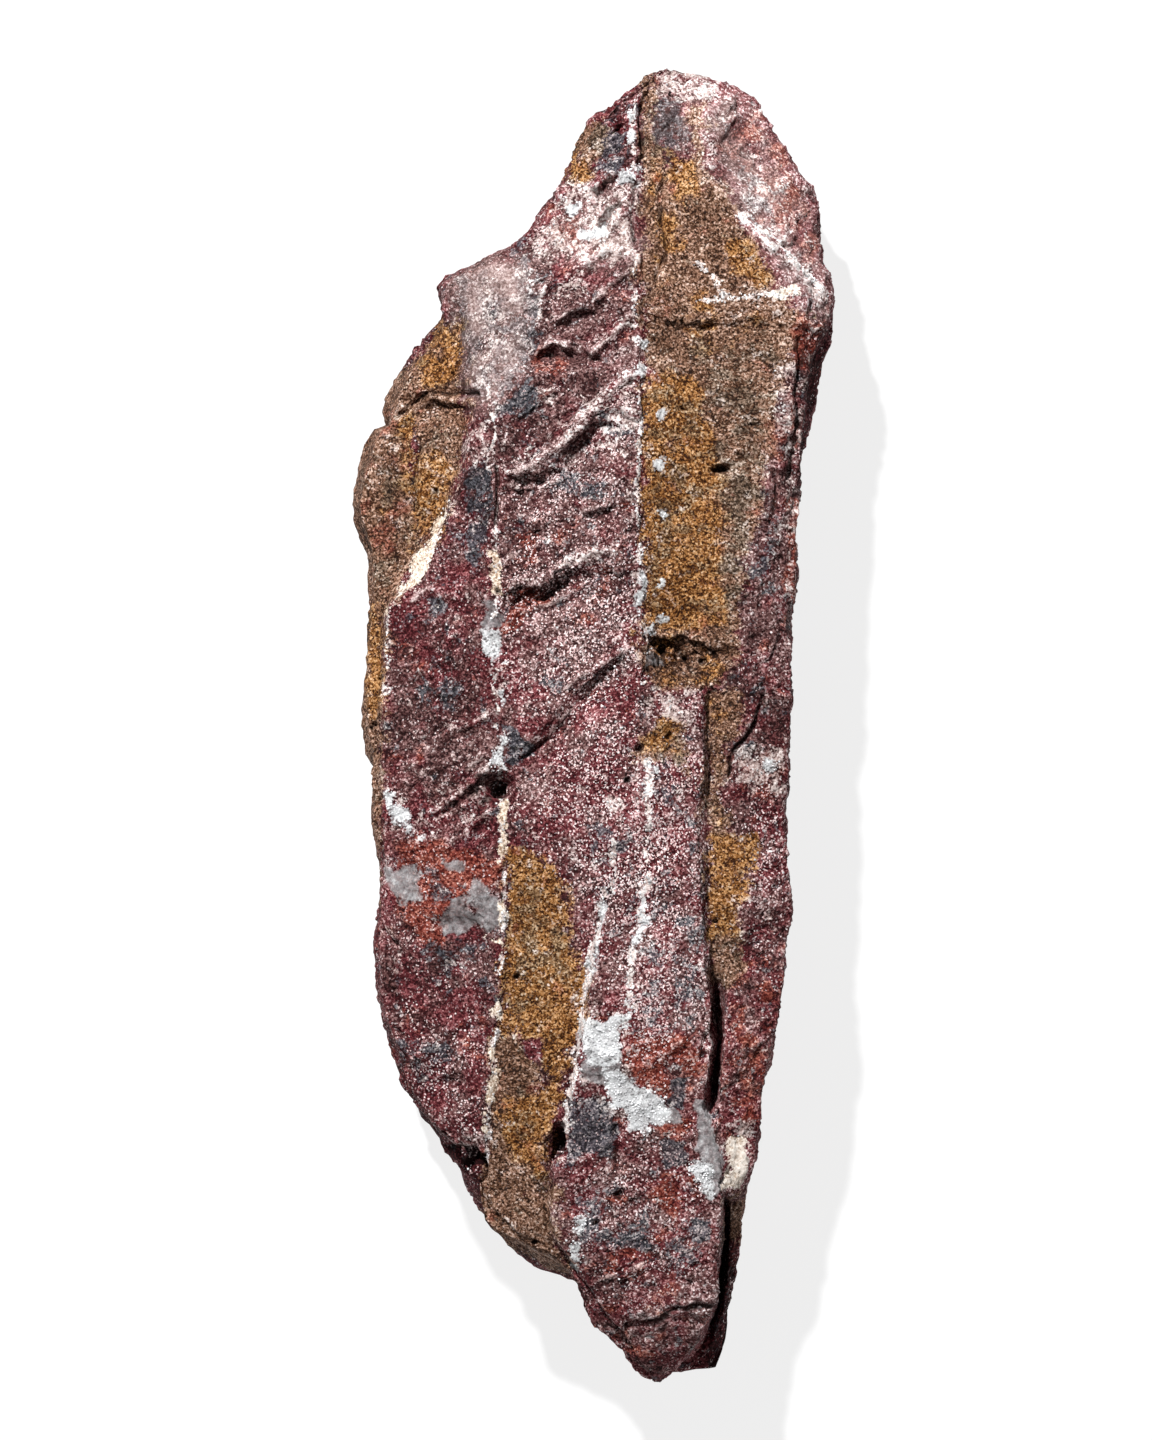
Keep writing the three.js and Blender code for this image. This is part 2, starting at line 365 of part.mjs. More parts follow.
// The section as points round the stone, each with the part of the stone that it is on.
function ring(y) {
  const corners = section(y);
  const rightBrow = corners.length - 6;
  const points = [];
  corners.forEach(([x, z, cells], i) => {
    const [nextX, nextZ] = corners[(i + 1) % corners.length];
    for (let c = 0; c < cells; c++) {
      const t = c / cells;
      const at = new THREE.Vector3(x + t * (nextX - x), y, z + t * (nextZ - z));
      const place = i + c / cells;
      let side = "back";
      if (place === 0 || place === rightBrow + 1) side = "outline";
      else if (place < 1 || (place > rightBrow && place < rightBrow + 1)) side = "wall";
      else if (place <= rightBrow) side = "face";
      if (side === "face") {
        if (c) [at.x, at.y] = ontoRidge(at.x, at.y);
        at.z += relief(at.x, at.y);
      }
      points.push({ at, side });
    }
  });
  return points;
}

// A repeatable number from 0 to 1 for each corner of a grid.
function cornerValue(i, j, k) {
  const n = Math.sin(i * 127.1 + j * 311.7 + k * 74.7) * 43758.5453;
  return n - Math.floor(n);
}

// Smooth noise from -1 to 1 on a grid one unit wide.
function noise(x, y, z) {
  const [i, j, k] = [Math.floor(x), Math.floor(y), Math.floor(z)];
  const [u, v, w] = [smooth(x - i), smooth(y - j), smooth(z - k)];
  const mix = (a, b, t) => a + (b - a) * t;
  const edge = (dj, dk) => mix(cornerValue(i, j + dj, k + dk), cornerValue(i + 1, j + dj, k + dk), u);
  return 2 * mix(mix(edge(0, 0), edge(1, 0), v), mix(edge(0, 1), edge(1, 1), v), w) - 1;
}

// Height of the lumps at a point.
function lumps(sizes, p) {
  return sizes.reduce((sum, { spacing, height }) => {
    const [u, v, w] = p.toArray().map((value) => value / spacing);
    return sum + height * noise(u, v, w);
  }, 0);
}

// Moves a point in, level, to each flat break that it stands proud of.
function breakFlat(p) {
  for (const { at, facing } of BREAKS) {
    const n = new THREE.Vector3(...facing);
    const proud = n.dot(p) - n.dot(new THREE.Vector3(...at));
    const level = new THREE.Vector3(n.x, n.y, 0);
    if (proud > 0) p.addScaledVector(level, -proud / level.lengthSq());
  }
}

function stoneGeometry() {
  const rings = rowPlaces().map(ring);
  const around = rings[0].length;
  const points = rings.flat();
  points.filter((p) => p.side === "back").forEach((p) => breakFlat(p.at));

  const index = [];
  for (let r = 0; r + 1 < rings.length; r++) {
    for (let c = 0; c < around; c++) {
      const [a, b] = [r * around + c, r * around + ((c + 1) % around)];
      const [d, e] = [a + around, b + around];
      const fold = (p, q) => Math.abs(points[p].at.z - points[q].at.z);
      if (fold(b, d) < fold(a, e)) index.push(a, d, b, b, d, e);
      else index.push(a, d, e, a, e, b);
    }
  }
  // Both ends are closed with a fan round their middle.
  [0, rings.length - 1].forEach((r) => {
    const middle = new THREE.Vector3();
    rings[r].forEach((p) => middle.addScaledVector(p.at, 1 / around));
    points.push({ at: middle, side: "outline" });
    for (let c = 0; c < around; c++) {
      const [a, b] = [r * around + c, r * around + ((c + 1) % around)];
      index.push(points.length - 1, ...(r ? [b, a] : [a, b]));
    }
  });

  const geometry = new THREE.BufferGeometry();
  geometry.setAttribute("position", new THREE.Float32BufferAttribute(points.flatMap((p) => p.at.toArray()), 3));
  geometry.setIndex(index);
  geometry.computeVertexNormals();

  // Lumps stand up from the face, and out from or into the back, but only into the walls, because the
  // outline keeps its shape. So does the flat that the stone rests on.
  const normals = geometry.getAttribute("normal");
  points.forEach((p, i) => {
    if (p.side === "outline" || p.at.z < 0.01) return;
    const n = new THREE.Vector3().fromBufferAttribute(normals, i);
    const height = lumps(p.side === "face" ? FACE_LUMPS : BACK_LUMPS, p.at);
    if (p.side === "face") p.at.z += height;
    else if (p.side === "wall") p.at.addScaledVector(n, -Math.abs(height));
    else p.at.addScaledVector(n, height * smooth(p.at.z / FLAT_FADE));
  });
  geometry.setAttribute("position", new THREE.Float32BufferAttribute(points.flatMap((p) => p.at.toArray()), 3));
  geometry.computeVertexNormals();
  return geometry;
}

// Sizes the stone to the driving dimensions and stands it on its rest plane, over the origin.
function fitToSize(geometry) {
  geometry.computeBoundingBox();
  const size = geometry.boundingBox.getSize(new THREE.Vector3());
  geometry.translate(
    -(geometry.boundingBox.min.x + geometry.boundingBox.max.x) / 2,
    -(geometry.boundingBox.min.y + geometry.boundingBox.max.y) / 2,
    -geometry.boundingBox.min.z,
  );
  geometry.scale(WIDTH / size.x, LENGTH / size.y, THICKNESS / size.z);
  return geometry;
}

const jasper = new THREE.MeshStandardMaterial({ color: 0x7d4a46, roughness: 0.6, metalness: 0 });
const stone = new THREE.Mesh(fitToSize(stoneGeometry()), jasper);
stone.name = "red_jasper";

const part = new THREE.Group();
part.add(stone);

export default part;
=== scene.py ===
# %% [markdown]
# # A rough piece of red jasper
#
# Jasper is quartz so full of iron that no light passes through it. This piece is 185 mm long. It was
# split along its layers, so its face is a row of bands that run the length of the stone: maroon
# jasper, brown and ochre iron crust, and thin white seams of clear quartz. The surface is granular,
# like coarse sugar, and its fresh grains sparkle.
#
# The solid model already has the stone's outline, its bands at their heights and its larger ledges.
# This lesson adds what is finer than that: broken ledges, grain and pits in the mesh, and then a
# finish made only of nodes.

# %% Load the solid model
import math

import bpy
import numpy as np
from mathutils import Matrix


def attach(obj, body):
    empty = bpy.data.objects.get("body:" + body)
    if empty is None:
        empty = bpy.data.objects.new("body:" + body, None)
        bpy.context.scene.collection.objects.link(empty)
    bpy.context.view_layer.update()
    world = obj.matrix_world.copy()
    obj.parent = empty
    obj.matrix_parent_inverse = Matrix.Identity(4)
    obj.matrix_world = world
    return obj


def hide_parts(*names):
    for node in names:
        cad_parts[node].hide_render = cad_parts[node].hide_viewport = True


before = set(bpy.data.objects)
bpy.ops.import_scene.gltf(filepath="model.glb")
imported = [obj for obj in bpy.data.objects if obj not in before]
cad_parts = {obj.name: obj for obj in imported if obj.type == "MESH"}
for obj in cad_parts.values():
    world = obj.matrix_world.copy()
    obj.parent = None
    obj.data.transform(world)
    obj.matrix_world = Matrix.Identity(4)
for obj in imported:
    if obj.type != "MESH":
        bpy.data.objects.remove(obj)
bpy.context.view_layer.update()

# %% [markdown]
# ## Places on the stone
#
# Every place below is in millimetres, seen from above: x across the stone and y along it, with the
# rounded end at the top. Blender works in metres, so meshes are turned to metres at the last step.
#
# A seam is a line of places. A patch is a closed outline. They are mostly colour, but crust also has
# a relief of its own, and small quartz grains are strewn over the white seams and pockets at the end.
# Noise breaks up every edge later on, so a few corners are enough for each outline.

# %% Seams, each a line of places
MM = 0.001

LEFT_SEAM = [
    (-14.6, 47), (-13.9, 40), (-13.7, 35), (-13.1, 23.2), (-13.5, 17.6), (-14.5, 12), (-13.8, 5),
    (-12.7, -2.7), (-13.1, -9),
]
LEFT_SEAM_LOW = [
    (-13.1, -9), (-12.8, -17.4), (-12.5, -28.6), (-13.1, -38.4), (-13.8, -46.8), (-14.8, -55.2),
    (-14.9, -62.2),
]
MIDDLE_SEAM = [
    (6, 88), (5.6, 84), (5.6, 80), (5.2, 76), (5.8, 66), (6.1, 56), (6.5, 50), (6.4, 40), (6.2, 32),
    (6.3, 20), (7.1, 13), (7.6, 10), (6.3, 5),
]
TONGUE_SEAMS = [
    [(1.6, -23), (0.6, -28), (-0.5, -33), (-1.5, -40), (-2.6, -48), (-4, -56)],
    [(7.9, -5), (7.4, -14), (6.8, -24.4), (5.4, -33), (4.4, -42)],
    [(3, -16), (2.8, -23)],
]
FACE_SEAMS = [
    [(15, 59.4), (19, 59.8), (24, 60.6), (28, 60.4)],
    [(14.4, 64.7), (16.6, 62.4), (18.6, 60)],
    [(21, 71.6), (25, 68.6), (29, 64), (33, 60.4)],
]
STEP_SEAM = [(-19.6, 31), (-22, 25.6), (-25.8, 20), (-28.6, 16.8), (-29, 10), (-29, 4)]
WIDTHS = [(LEFT_SEAM, 0.22), (LEFT_SEAM_LOW, 0.34), (MIDDLE_SEAM, 0.16), (STEP_SEAM, 0.3)]
WIDTHS += [(line, 0.52) for line in TONGUE_SEAMS]
WIDTHS += [(line, 0.44) for line in FACE_SEAMS]
print(len(WIDTHS), "seams")

# %% Pockets of white quartz, of clear grey quartz and of cream quartz
QUARTZ = [
    [(-29.6, -8.8), (-28, -9.4), (-27, -11.4), (-25.4, -12.4), (-24.2, -13.6), (-26, -14.4),
     (-28.2, -13.2)],
    [(-25.4, -14.4), (-22.8, -15), (-22.6, -16.4), (-24.6, -16)],
    [(-1.8, -40.2), (0.6, -41), (3.6, -40.6), (4, -45), (3, -47.4), (-0.6, -47), (-1.6, -43.6)],
    [(0.6, -47.6), (3.6, -47.6), (6, -49.6), (8.6, -51), (10.4, -53.2), (9.4, -56.2), (5.4, -56.4),
     (2.6, -53)],
    [(13.4, -60.8), (15, -59.8), (16.2, -61), (17.2, -64.6), (16.6, -66), (14.8, -65.2), (13.4, -63)],
    [(-3.4, -72), (-1.8, -72), (-1.8, -76), (-3.2, -75.4)],
    [(-2.6, -68), (-0.8, -68.4), (-1.4, -70.4), (-2.8, -70)],
    [(-15.6, 12.8), (-13.4, 13), (-12.2, 13.4), (-12.6, 11.4), (-12.6, 8.8), (-13.6, 8), (-15, 9.6)],
    [(-12.7, -1.6), (-11.9, -2.2), (-12, -4.4), (-12.8, -6), (-13.4, -7.6), (-14.1, -6.6), (-13.7, -4.6)],
    [(-13.2, 5), (-12.7, 4.8), (-12.5, 2.4), (-13, 2.2)],
    [(23.4, -5.6), (25.4, -5.2), (25, -6.6), (23.6, -7)],
    [(12.8, 91.6), (15.8, 91), (16, 88), (14.4, 88.6), (13, 90)],
    [(16.6, 88), (20, 87), (21, 89), (18.6, 88.6), (17, 89.6)],
    [(-4.4, 72.6), (-2, 73.4), (-2, 71.4), (-3.8, 70.8)],
    [(-2, 68.6), (1.2, 70), (1.8, 68.4), (-1, 67.6)],
    [(4.4, 77.4), (6.2, 77.6), (6, 75.8), (4, 76)],
    [(4.6, 86.6), (6, 86.6), (6, 82), (4.8, 81.8)],
    [(6, 22), (6.9, 21.6), (6.9, 15), (6.2, 14.6)],
    [(6.4, 53.8), (7.7, 53.6), (7.5, 52.3), (6.6, 52.3)],
    [(0.9, -24.6), (2, -24.8), (1.1, -28.8), (0.1, -28.4)],
    [(0.4, -29.6), (0.9, -30), (-0.1, -34.4), (-0.9, -34)],
    [(6.6, -23), (7.5, -23), (7, -27), (6, -31), (5.3, -30.6)],
    [(4.4, -37.6), (5.5, -38), (4.9, -42.4), (4, -42)],
    [(5.8, 51), (6.9, 51), (6.8, 48.6), (6, 48.8)],
    [(7, 14), (9, 14.4), (8.8, 13), (7, 12.6)],
]
DOTS = [(9.4, 43), (9.3, 36.2), (9.9, 29.6), (9.7, 19.4), (9.4, 14.8), (10.3, -15.3), (10, -80), (8.4, -6)]
CLEAR = [
    [(-28.6, -20.4), (-25, -19.6), (-24, -21.4), (-24, -24.6), (-27, -24.4), (-28.6, -22.6)],
    [(-21, -19), (-18, -18.8), (-17.4, -20.6), (-20.6, -21)],
    [(-17, -21.8), (-15.2, -22), (-14.6, -23), (-13, -23.4), (-12.6, -27.6), (-14.4, -28.4), (-16.2, -27)],
    [(-21.8, -27.4), (-20, -24.2), (-18.4, -23.6), (-17, -26), (-16.8, -28.8), (-19, -29.2), (-21, -28.6)],
    [(14.6, -52), (16.2, -52.4), (17.2, -57), (17.8, -61), (18, -66), (16.6, -66), (15, -62), (14.2, -58)],
    [(-1.4, -46), (3.4, -46.6), (4, -50), (0, -49.8), (-2.4, -48)],
    [(-15.3, 17), (-12.8, 17), (-12.6, 13.2), (-15.2, 13)],
    [(8.6, -53), (12, -52.6), (12, -55), (9.6, -55.6)],
    [(10, 90), (12.4, 90.4), (12, 87.6), (9.6, 87.8)],
    [(7.4, 10), (9.6, 9.4), (9.4, 8), (7.6, 8.4)],
]
CREAM = [
    [(-29, 15.4), (-27.4, 18), (-25, 19.4), (-22.4, 23.4), (-20.6, 28.6), (-20.4, 30), (-22, 28.6),
     (-23.4, 24.6), (-25.8, 24), (-26.2, 20.6), (-28, 18)],
    [(18.2, -57.4), (21.8, -58), (21.4, -62), (20.4, -65.2), (18.4, -64.6)],
    [(-14.4, 24), (-13, 23.6), (-12.4, 20), (-12.8, 18), (-14.8, 18.4), (-14, 21)],
    [(-15, -29.2), (-12.4, -29.4), (-12.4, -31.2), (-13.4, -30.2)],
    [(-13.3, -38.4), (-12.6, -38.2), (-12.9, -41.8), (-13.9, -40)],
    [(-13.7, -45), (-13.1, -45.6), (-13.6, -49), (-14, -53), (-15.2, -53), (-15, -50), (-14.3, -47)],
    [(-15.6, -53), (-14.8, -53), (-15.1, -57), (-15.7, -57)],
    [(24.6, 61.4), (28.4, 62), (28.6, 60), (25, 60)],
    [(-13.5, -10.2), (-12.3, -10.4), (-12, -14), (-12.2, -17.4), (-13.4, -18.6), (-13.2, -14)],
    [(-13.4, -24), (-12.8, -24), (-12.6, -29.6), (-13.2, -29)],
]
print(len(QUARTZ), "white,", len(CLEAR), "clear and", len(CREAM), "cream pockets, and", len(DOTS), "dots")

# %% Bands and patches of ochre and brown crust, and bare jasper inside them
OCHRE = [
    [(-12.4, -16.7), (-8.9, -17.2), (-5.4, -20.2), (-3.9, -22.3), (-3.2, -28.6), (-0.9, -35.6),
     (-1.3, -41.2),
     (-3.2, -44), (-3.6, -49.6), (-5, -53.8), (-6, -60.8), (-7.4, -64), (-11, -60), (-14.2, -55),
     (-9, -51), (-7, -48.4), (-8, -44), (-12.6, -43), (-12.5, -38.4), (-12.1, -28.6)],
    [(6.8, 50), (13, 49), (17, 42), (18.6, 30), (17.6, 14), (15, 12.8), (7, 13.8)],
    [(16.2, -15.4), (22.6, -15.2), (22.6, -20), (20.4, -24), (19.6, -29), (16.4, -29.4)],
    [(-21.4, 56.6), (-18.4, 56), (-17.6, 51), (-19.6, 48.6), (-21, 47.6), (-24.4, 47.6), (-24.8, 50),
     (-22, 52)],
    [(-24.8, 38), (-21.6, 39), (-19.4, 36), (-19.4, 33), (-20.6, 29.4), (-24, 24), (-25.6, 25),
     (-25.4, 31)],
    [(-27.6, 42), (-25.6, 43), (-25, 38), (-24.6, 30), (-25.6, 30), (-26.6, 36)],
    [(11, 80), (14, 78), (15, 75), (12, 73), (10.4, 76)],
    [(19, 67), (22, 68), (24.6, 65), (25, 62), (21, 61.4), (18.6, 63)],
    [(-3, 79), (0, 79), (0, 76.4), (-2.6, 75.6)],
    [(8.4, 0.6), (10.4, 0.8), (10.6, -3.4), (8.6, -3.6)],
    [(-31.4, 2), (-29.6, 4), (-29.6, 14), (-31, 16), (-31.6, 8)],
]
FAINT_OCHRE = [
    (2.7, 1.5, [(7.4, 80), (11, 79), (14, 72), (13, 62), (8, 60), (7.2, 68)]),
    (2.7, 1.2, [(7.4, 13), (12, 13), (19, 9), (18, 5), (8, 5)]),
    (2.5, 1.5, [(15.6, 4), (19, 4), (18.4, -8), (18.6, -15), (16.4, -15)]),
    (2.5, 2, [(12, 61), (25, 60), (24, 56), (18, 50), (12, 51)]),
    (2.4, 2, [(-31, 34), (-27, 36), (-27, 28), (-30, 24)]),
]
BROWN = [
    [(6.6, 92), (8.6, 91), (8.6, 80), (11, 78.4), (13.6, 79), (13.6, 87), (15.6, 88), (16, 77), (18, 75),
     (20.4, 72), (24, 67), (25.6, 63.6), (26, 61.6), (29, 58), (28, 54), (26, 46), (24.4, 38), (22.6, 30),
     (20.8, 20), (19.6, 10), (17, 5), (7, 5)],
    [(15.2, 5), (20.2, 4), (19.6, -2), (18, -8), (19, -13), (20.6, -36), (16.4, -36), (15.8, -10)],
    [(-36, 50), (-29, 50), (-25, 51), (-22.6, 54), (-21.6, 57), (-17.8, 57), (-17.6, 46), (-18.4, 34),
     (-21, 27.6), (-25, 22), (-28.8, 16.4), (-29.4, 4), (-29.8, -9), (-30, -26), (-36, -26)],
    [(-2, 84), (1, 85), (0.6, 76), (-3.4, 75)],
    [(-13.4, -42.4), (-8, -43.4), (-6.6, -48), (-7, -58), (-5.8, -63), (-5, -70), (-3, -78), (-16, -74),
     (-14.8, -52)],
    [(8.2, 1), (12, 0.6), (12.4, -5.4), (7.6, -5.6), (6.6, -4)],
    [(19, -66), (22, -66), (21, -72), (19, -72)],
]
BARE = [
    [(-26.2, 43.6), (-24.7, 43.4), (-24.3, 36), (-24.2, 31.6), (-25.6, 32), (-26, 37)],
    [(-9.8, -44.2), (-7.6, -44), (-7, -46), (-8.8, -47.2), (-10.2, -46)],
]
print(len(OCHRE), "ochre and", len(BROWN), "brown places")
print(len(FAINT_OCHRE), "faint ochre places and", len(BARE), "bare ones")

# %% [markdown]
# ## Zones where a colour comes and goes
#
# Much of the stone's colour has no edge. White haze, grey and rust mottling, duller jasper and dusty
# films thicken and thin out again. A zone says how much more of something there is, or less where the
# number is below 0, how soft the zone's edge is in millimetres, and its outline.

# %% Zones of mottled colour
WHITES = [
    (0.85, 0.5, [(26.9, 34), (28.6, 34), (28.2, 18), (26.8, 19)]),
    (0.7, 0.8, [(24.8, 50), (28, 52), (28, 36), (26.4, 36)]),
    (1.0, 1, [(-16.4, 60), (-14, 61), (-12.4, 56), (-13, 50), (-15, 52)]),
    (1.0, 1.5, [(-10.4, 66), (-6, 72), (-3, 76.4), (2, 75), (6, 76.6), (6, 64.4), (0, 64.6), (-6, 64.4)]),
    (0.8, 0.8, [(-5.6, 59.4), (-2, 64), (2, 66.4), (6.2, 66), (6.2, 64), (0, 63.4), (-3.6, 59.6)]),
    (1.3, 1.2, [(8.4, 93), (16, 93), (19, 90), (16, 87), (12, 88.6), (9, 88)]),
    (0.5, 1.5, [(18, 90), (22, 88), (20, 85), (16, 82), (16, 87)]),
    (0.6, 1.2, [(15, 83), (18, 83), (18, 75), (15.4, 75)]),
    (0.35, 2, [(22, 80), (26, 77), (31, 72), (31, 66), (26, 68), (21, 73)]),
    (0.75, 0.8, [(20.4, 73), (23, 73), (31, 63.6), (34, 60.4), (33, 57), (28, 62.6), (22, 69.6)]),
    (0.5, 2, [(15, 61.4), (28, 62), (30, 58.6), (17, 58.2)]),
    (0.5, 2.5, [(-18, 63), (-10, 64), (-7, 58), (-8.4, 52), (-10, 49), (-14.4, 45), (-17, 45)]),
    (0.85, 1, [(0.6, 44.6), (4, 48), (6.3, 50), (6.3, 38), (2, 38), (-1, 38), (3.4, 42.6)]),
    (0.7, 0.8, [(-9, 19.6), (-4, 23.6), (2, 24.6), (6.2, 23), (1, 23), (-3, 21.6)]),
    (0.75, 1, [(7.2, 5), (14.2, 5), (14.6, -1), (11, 0), (8, 1.6)]),
    (1.15, 1.4, [(20, -3), (27, -3.6), (27, -10), (20.6, -10)]),
    (1.3, 0.8, [(1.6, -10.2), (4.6, -9.8), (4.4, -13), (2.2, -12.6)]),
    (1.1, 0.8, [(8.4, 5), (12, 4.6), (11, 2), (8.6, 2.4)]),
    (0.35, 1.2, [(5, -4), (9, -4), (8.6, -20), (6, -40), (4, -40)]),
    (0.6, 0.9, [(4.4, 62), (6.3, 62), (6.3, 14), (5, 14)]),
    (0.3, 2, [(26, 56), (33, 56), (29, 34), (28, 16), (26, 20), (26.4, 40)]),
    (0.55, 1.6, [(19.6, -24), (26.6, -24), (26.4, -30), (20.4, -31)]),
    (0.6, 1.2, [(-18.2, 43), (-14.6, 43), (-14.4, 36.6), (-17.8, 37.6)]),
    (0.5, 1, [(-14.6, 8), (-12.6, 8.4), (-11.4, 4), (-12, -1), (-14.2, 0)]),
    (0.6, 1.2, [(-16, -8), (-13.8, -4), (-14.4, -12), (-21, -19), (-18, -12)]),
    (0.7, 0.8, [(17.8, -55), (22.4, -55), (22, -60), (18, -58)]),
    (0.6, 1, [(-29, -8), (-24, -11), (-21, -15), (-23, -17.6), (-28, -15)]),
    (0.5, 1.4, [(-3, -38.6), (5, -38.6), (6, -47), (12.6, -53), (10, -58), (1, -55), (-3, -48)]),
    (0.5, 1, [(-14.8, 36), (-11, 36), (-5, 39.6), (-1, 44.6), (4, 49), (6, 50), (1, 43.6), (-3.6, 38.4)]),
    (0.6, 0.8, [(13.4, -26), (14.6, -26), (15.8, -36), (16.2, -46), (15.4, -52), (14.8, -46), (14.4, -36)]),
]
GREYS = [
    (0.45, 2, [(-12, -20), (-4, -24), (-3, -40), (-5, -42), (-11, -42)]),
    (0.45, 2, [(-11, -50), (-6, -50), (-8, -60), (-13, -58)]),
    (0.4, 2, [(7, 48), (16, 46), (18, 16), (8, 15)]),
    (0.55, 2.5, [(14, 54), (26, 54), (24, 20), (18, 18)]),
    (1.1, 0.7, [(18.4, 36.6), (21, 37), (22, 34), (20.4, 31.6), (18.8, 33)]),
    (0.4, 3, [(-34, 44), (-22, 44), (-22, 30), (-30, 18)]),
    (0.9, 0.8, [(-6.8, -28), (-4.6, -28), (-4.6, -31.6), (-6.6, -31)]),
    (0.9, 0.8, [(-18.2, 33.6), (-16.8, 36.2), (-14.6, 35.4), (-14, 31), (-14.4, 25.4), (-17, 24.6),
                (-18, 29)]),
    (0.85, 2, [(-19, 63), (-9, 64), (-6, 60), (-7.4, 53), (-9, 49), (-13, 46), (-17.4, 46)]),
    (0.6, 1.5, [(19, 78), (26, 78), (28, 72), (22, 71)]),
    (0.75, 1.5, [(-14, 48), (-9, 49), (-7, 46), (-9, 42), (-13.6, 42)]),
    (1.0, 0.8, [(-4.8, 35), (-1, 36), (2, 34.4), (1.6, 31.6), (-3.6, 32)]),
    (1.0, 0.7, [(1, 42.4), (5.6, 42.4), (5.6, 40), (2, 40)]),
    (0.7, 1, [(-24.4, 18), (-20.4, 17.6), (-20.6, 15), (-24, 14.4)]),
    (0.65, 1.5, [(-25.6, 5.6), (-18.6, 6), (-18.6, 2.6), (-24, 2)]),
    (1.0, 0.8, [(-12, 0), (-8.4, -2), (-8.6, -4.4), (-12, -5)]),
    (0.6, 1, [(-9, 6.6), (-3, 6.4), (-1, 3), (-6, 3.4)]),
    (0.75, 1.2, [(0, -13), (4.6, -13.6), (4.4, -17), (0.4, -16.8)]),
    (0.55, 1.6, [(0, -22), (12, -21.6), (13, -25.4), (1, -25)]),
    (0.4, 3, [(5, -27), (14, -27), (15, -44), (6, -44)]),
    (1.15, 1, [(-4.2, -52), (0, -52), (3, -54.6), (2.6, -59.6), (-3.4, -59.6)]),
    (0.65, 1.5, [(-4, -66), (8, -67), (8, -73), (-2, -73)]),
    (0.4, 1.4, [(10, -70), (16, -70), (16, -76), (10, -76)]),
    (0.5, 2, [(-24.6, -29.6), (-13.4, -31), (-13.6, -36), (-22, -35.6)]),
    (0.75, 1.5, [(-27, -44), (-20, -44), (-19.6, -49), (-24, -51)]),
    (0.8, 2, [(8, 88.4), (11.6, 88), (14.6, 82.6), (12.4, 78), (8.4, 80.6)]),
    (0.8, 1.6, [(-1, 84), (3.6, 86), (5, 80), (3.4, 76), (-0.4, 78)]),
    (0.9, 0.8, [(19.4, -2), (23, -2.4), (23.4, -5.6), (19.6, -5.6)]),
    (0.55, 1.5, [(-28.4, -18.4), (-20, -18), (-19, -25), (-27, -25.4)]),
    (0.7, 1, [(-18, 26.6), (-15, 27), (-14.6, 21.6), (-17, 21.4)]),
    (1.6, 0.6, [(9.2, -57.8), (12.8, -57.6), (13, -60.8), (9.8, -61)]),
    (1.6, 0.6, [(10.4, -48.8), (13.2, -48.8), (13, -53.2), (10.6, -53)]),
    (1.5, 0.6, [(13.6, -68.4), (16.2, -68.6), (16.2, -72.2), (13.8, -72.4)]),
    (1.4, 0.6, [(3.2, -70.2), (7.6, -70.4), (7.4, -73.2), (3.4, -73)]),
    (0.5, 2, [(8, -2), (14, -3), (14, -13), (7, -13)]),
]
RUSTS = [
    (1.15, 1.4, [(-27.6, -15), (-20, -16.4), (-13.4, -18.6), (-12.8, -23), (-17, -24), (-22, -31),
                 (-27.6, -26)]),
    (0.95, 1.4, [(3.4, -42), (14.4, -42.6), (14.6, -52), (9, -51), (4, -48)]),
    (0.8, 1, [(8.6, -55), (13, -54), (12.8, -68), (9, -68)]),
    (1.2, 0.5, [(9, -54.6), (12.4, -54.4), (13, -57), (10, -57)]),
    (1.2, 0.5, [(12.6, -63), (13.8, -62), (14.4, -66), (13, -66)]),
    (0.5, 1.5, [(1, -71), (8, -71), (9, -77), (1, -77)]),
    (0.95, 1.4, [(24, 85), (27.4, 79.4), (30.6, 74), (32, 67), (29, 70), (25, 77)]),
    (1.2, 1, [(27.6, 58), (33.6, 57), (32.6, 50), (28, 50)]),
    (1.1, 0.6, [(26.8, 32), (29.4, 32), (28.6, 17), (26.6, 18)]),
    (0.7, 1, [(-28, 12), (-24.4, 12), (-24.4, 7.4), (-28, 8)]),
    (0.55, 1, [(-12.4, 19.2), (-5, 19.6), (-5, 16.6), (-12.4, 16)]),
    (1.0, 0.7, [(-12.4, 16.4), (-9.6, 16), (-10, 13.4), (-12.4, 12.6)]),
    (0.45, 1, [(-12.4, 26), (-2, 27), (-4, 23), (-12, 22)]),
    (0.8, 0.8, [(0, -40), (3.6, -40), (4, -46), (2.6, -46.6)]),
    (0.7, 1, [(-8, 53), (-5, 52), (-2.6, 50), (-9, 49)]),
    (0.75, 1, [(-7, 74), (-2, 70), (-2, 66), (-6, 68)]),
    (0.75, 1, [(-28, -13), (-25, -15.4), (-20, -18), (-26, -17.4)]),
    (0.7, 1.4, [(20, -4), (26.6, -4), (26.6, -11), (19, -11)]),
    (0.8, 2, [(22, 88), (28, 79), (33, 68), (30, 62), (24, 70), (18, 80)]),
    (1.2, 0.5, [(18.3, -56.4), (19.3, -57), (19.2, -60), (18.3, -60.2)]),
    (1.1, 0.5, [(19.2, -62.6), (20.6, -62.8), (20.4, -64.4), (19.4, -64.6)]),
    (0.55, 2, [(19, -34), (26, -34), (22, -62), (18, -62)]),
    (0.3, 3, [(0, -60), (16, -60), (16, -90), (4, -90)]),
    (0.45, 4, [(-36, 48), (-26, 48), (-25, 36), (-27, 26), (-30, 18), (-36, 26)]),
    (0.4, 3, [(24, 50), (28, 50), (28, 18), (24, 20)]),
]
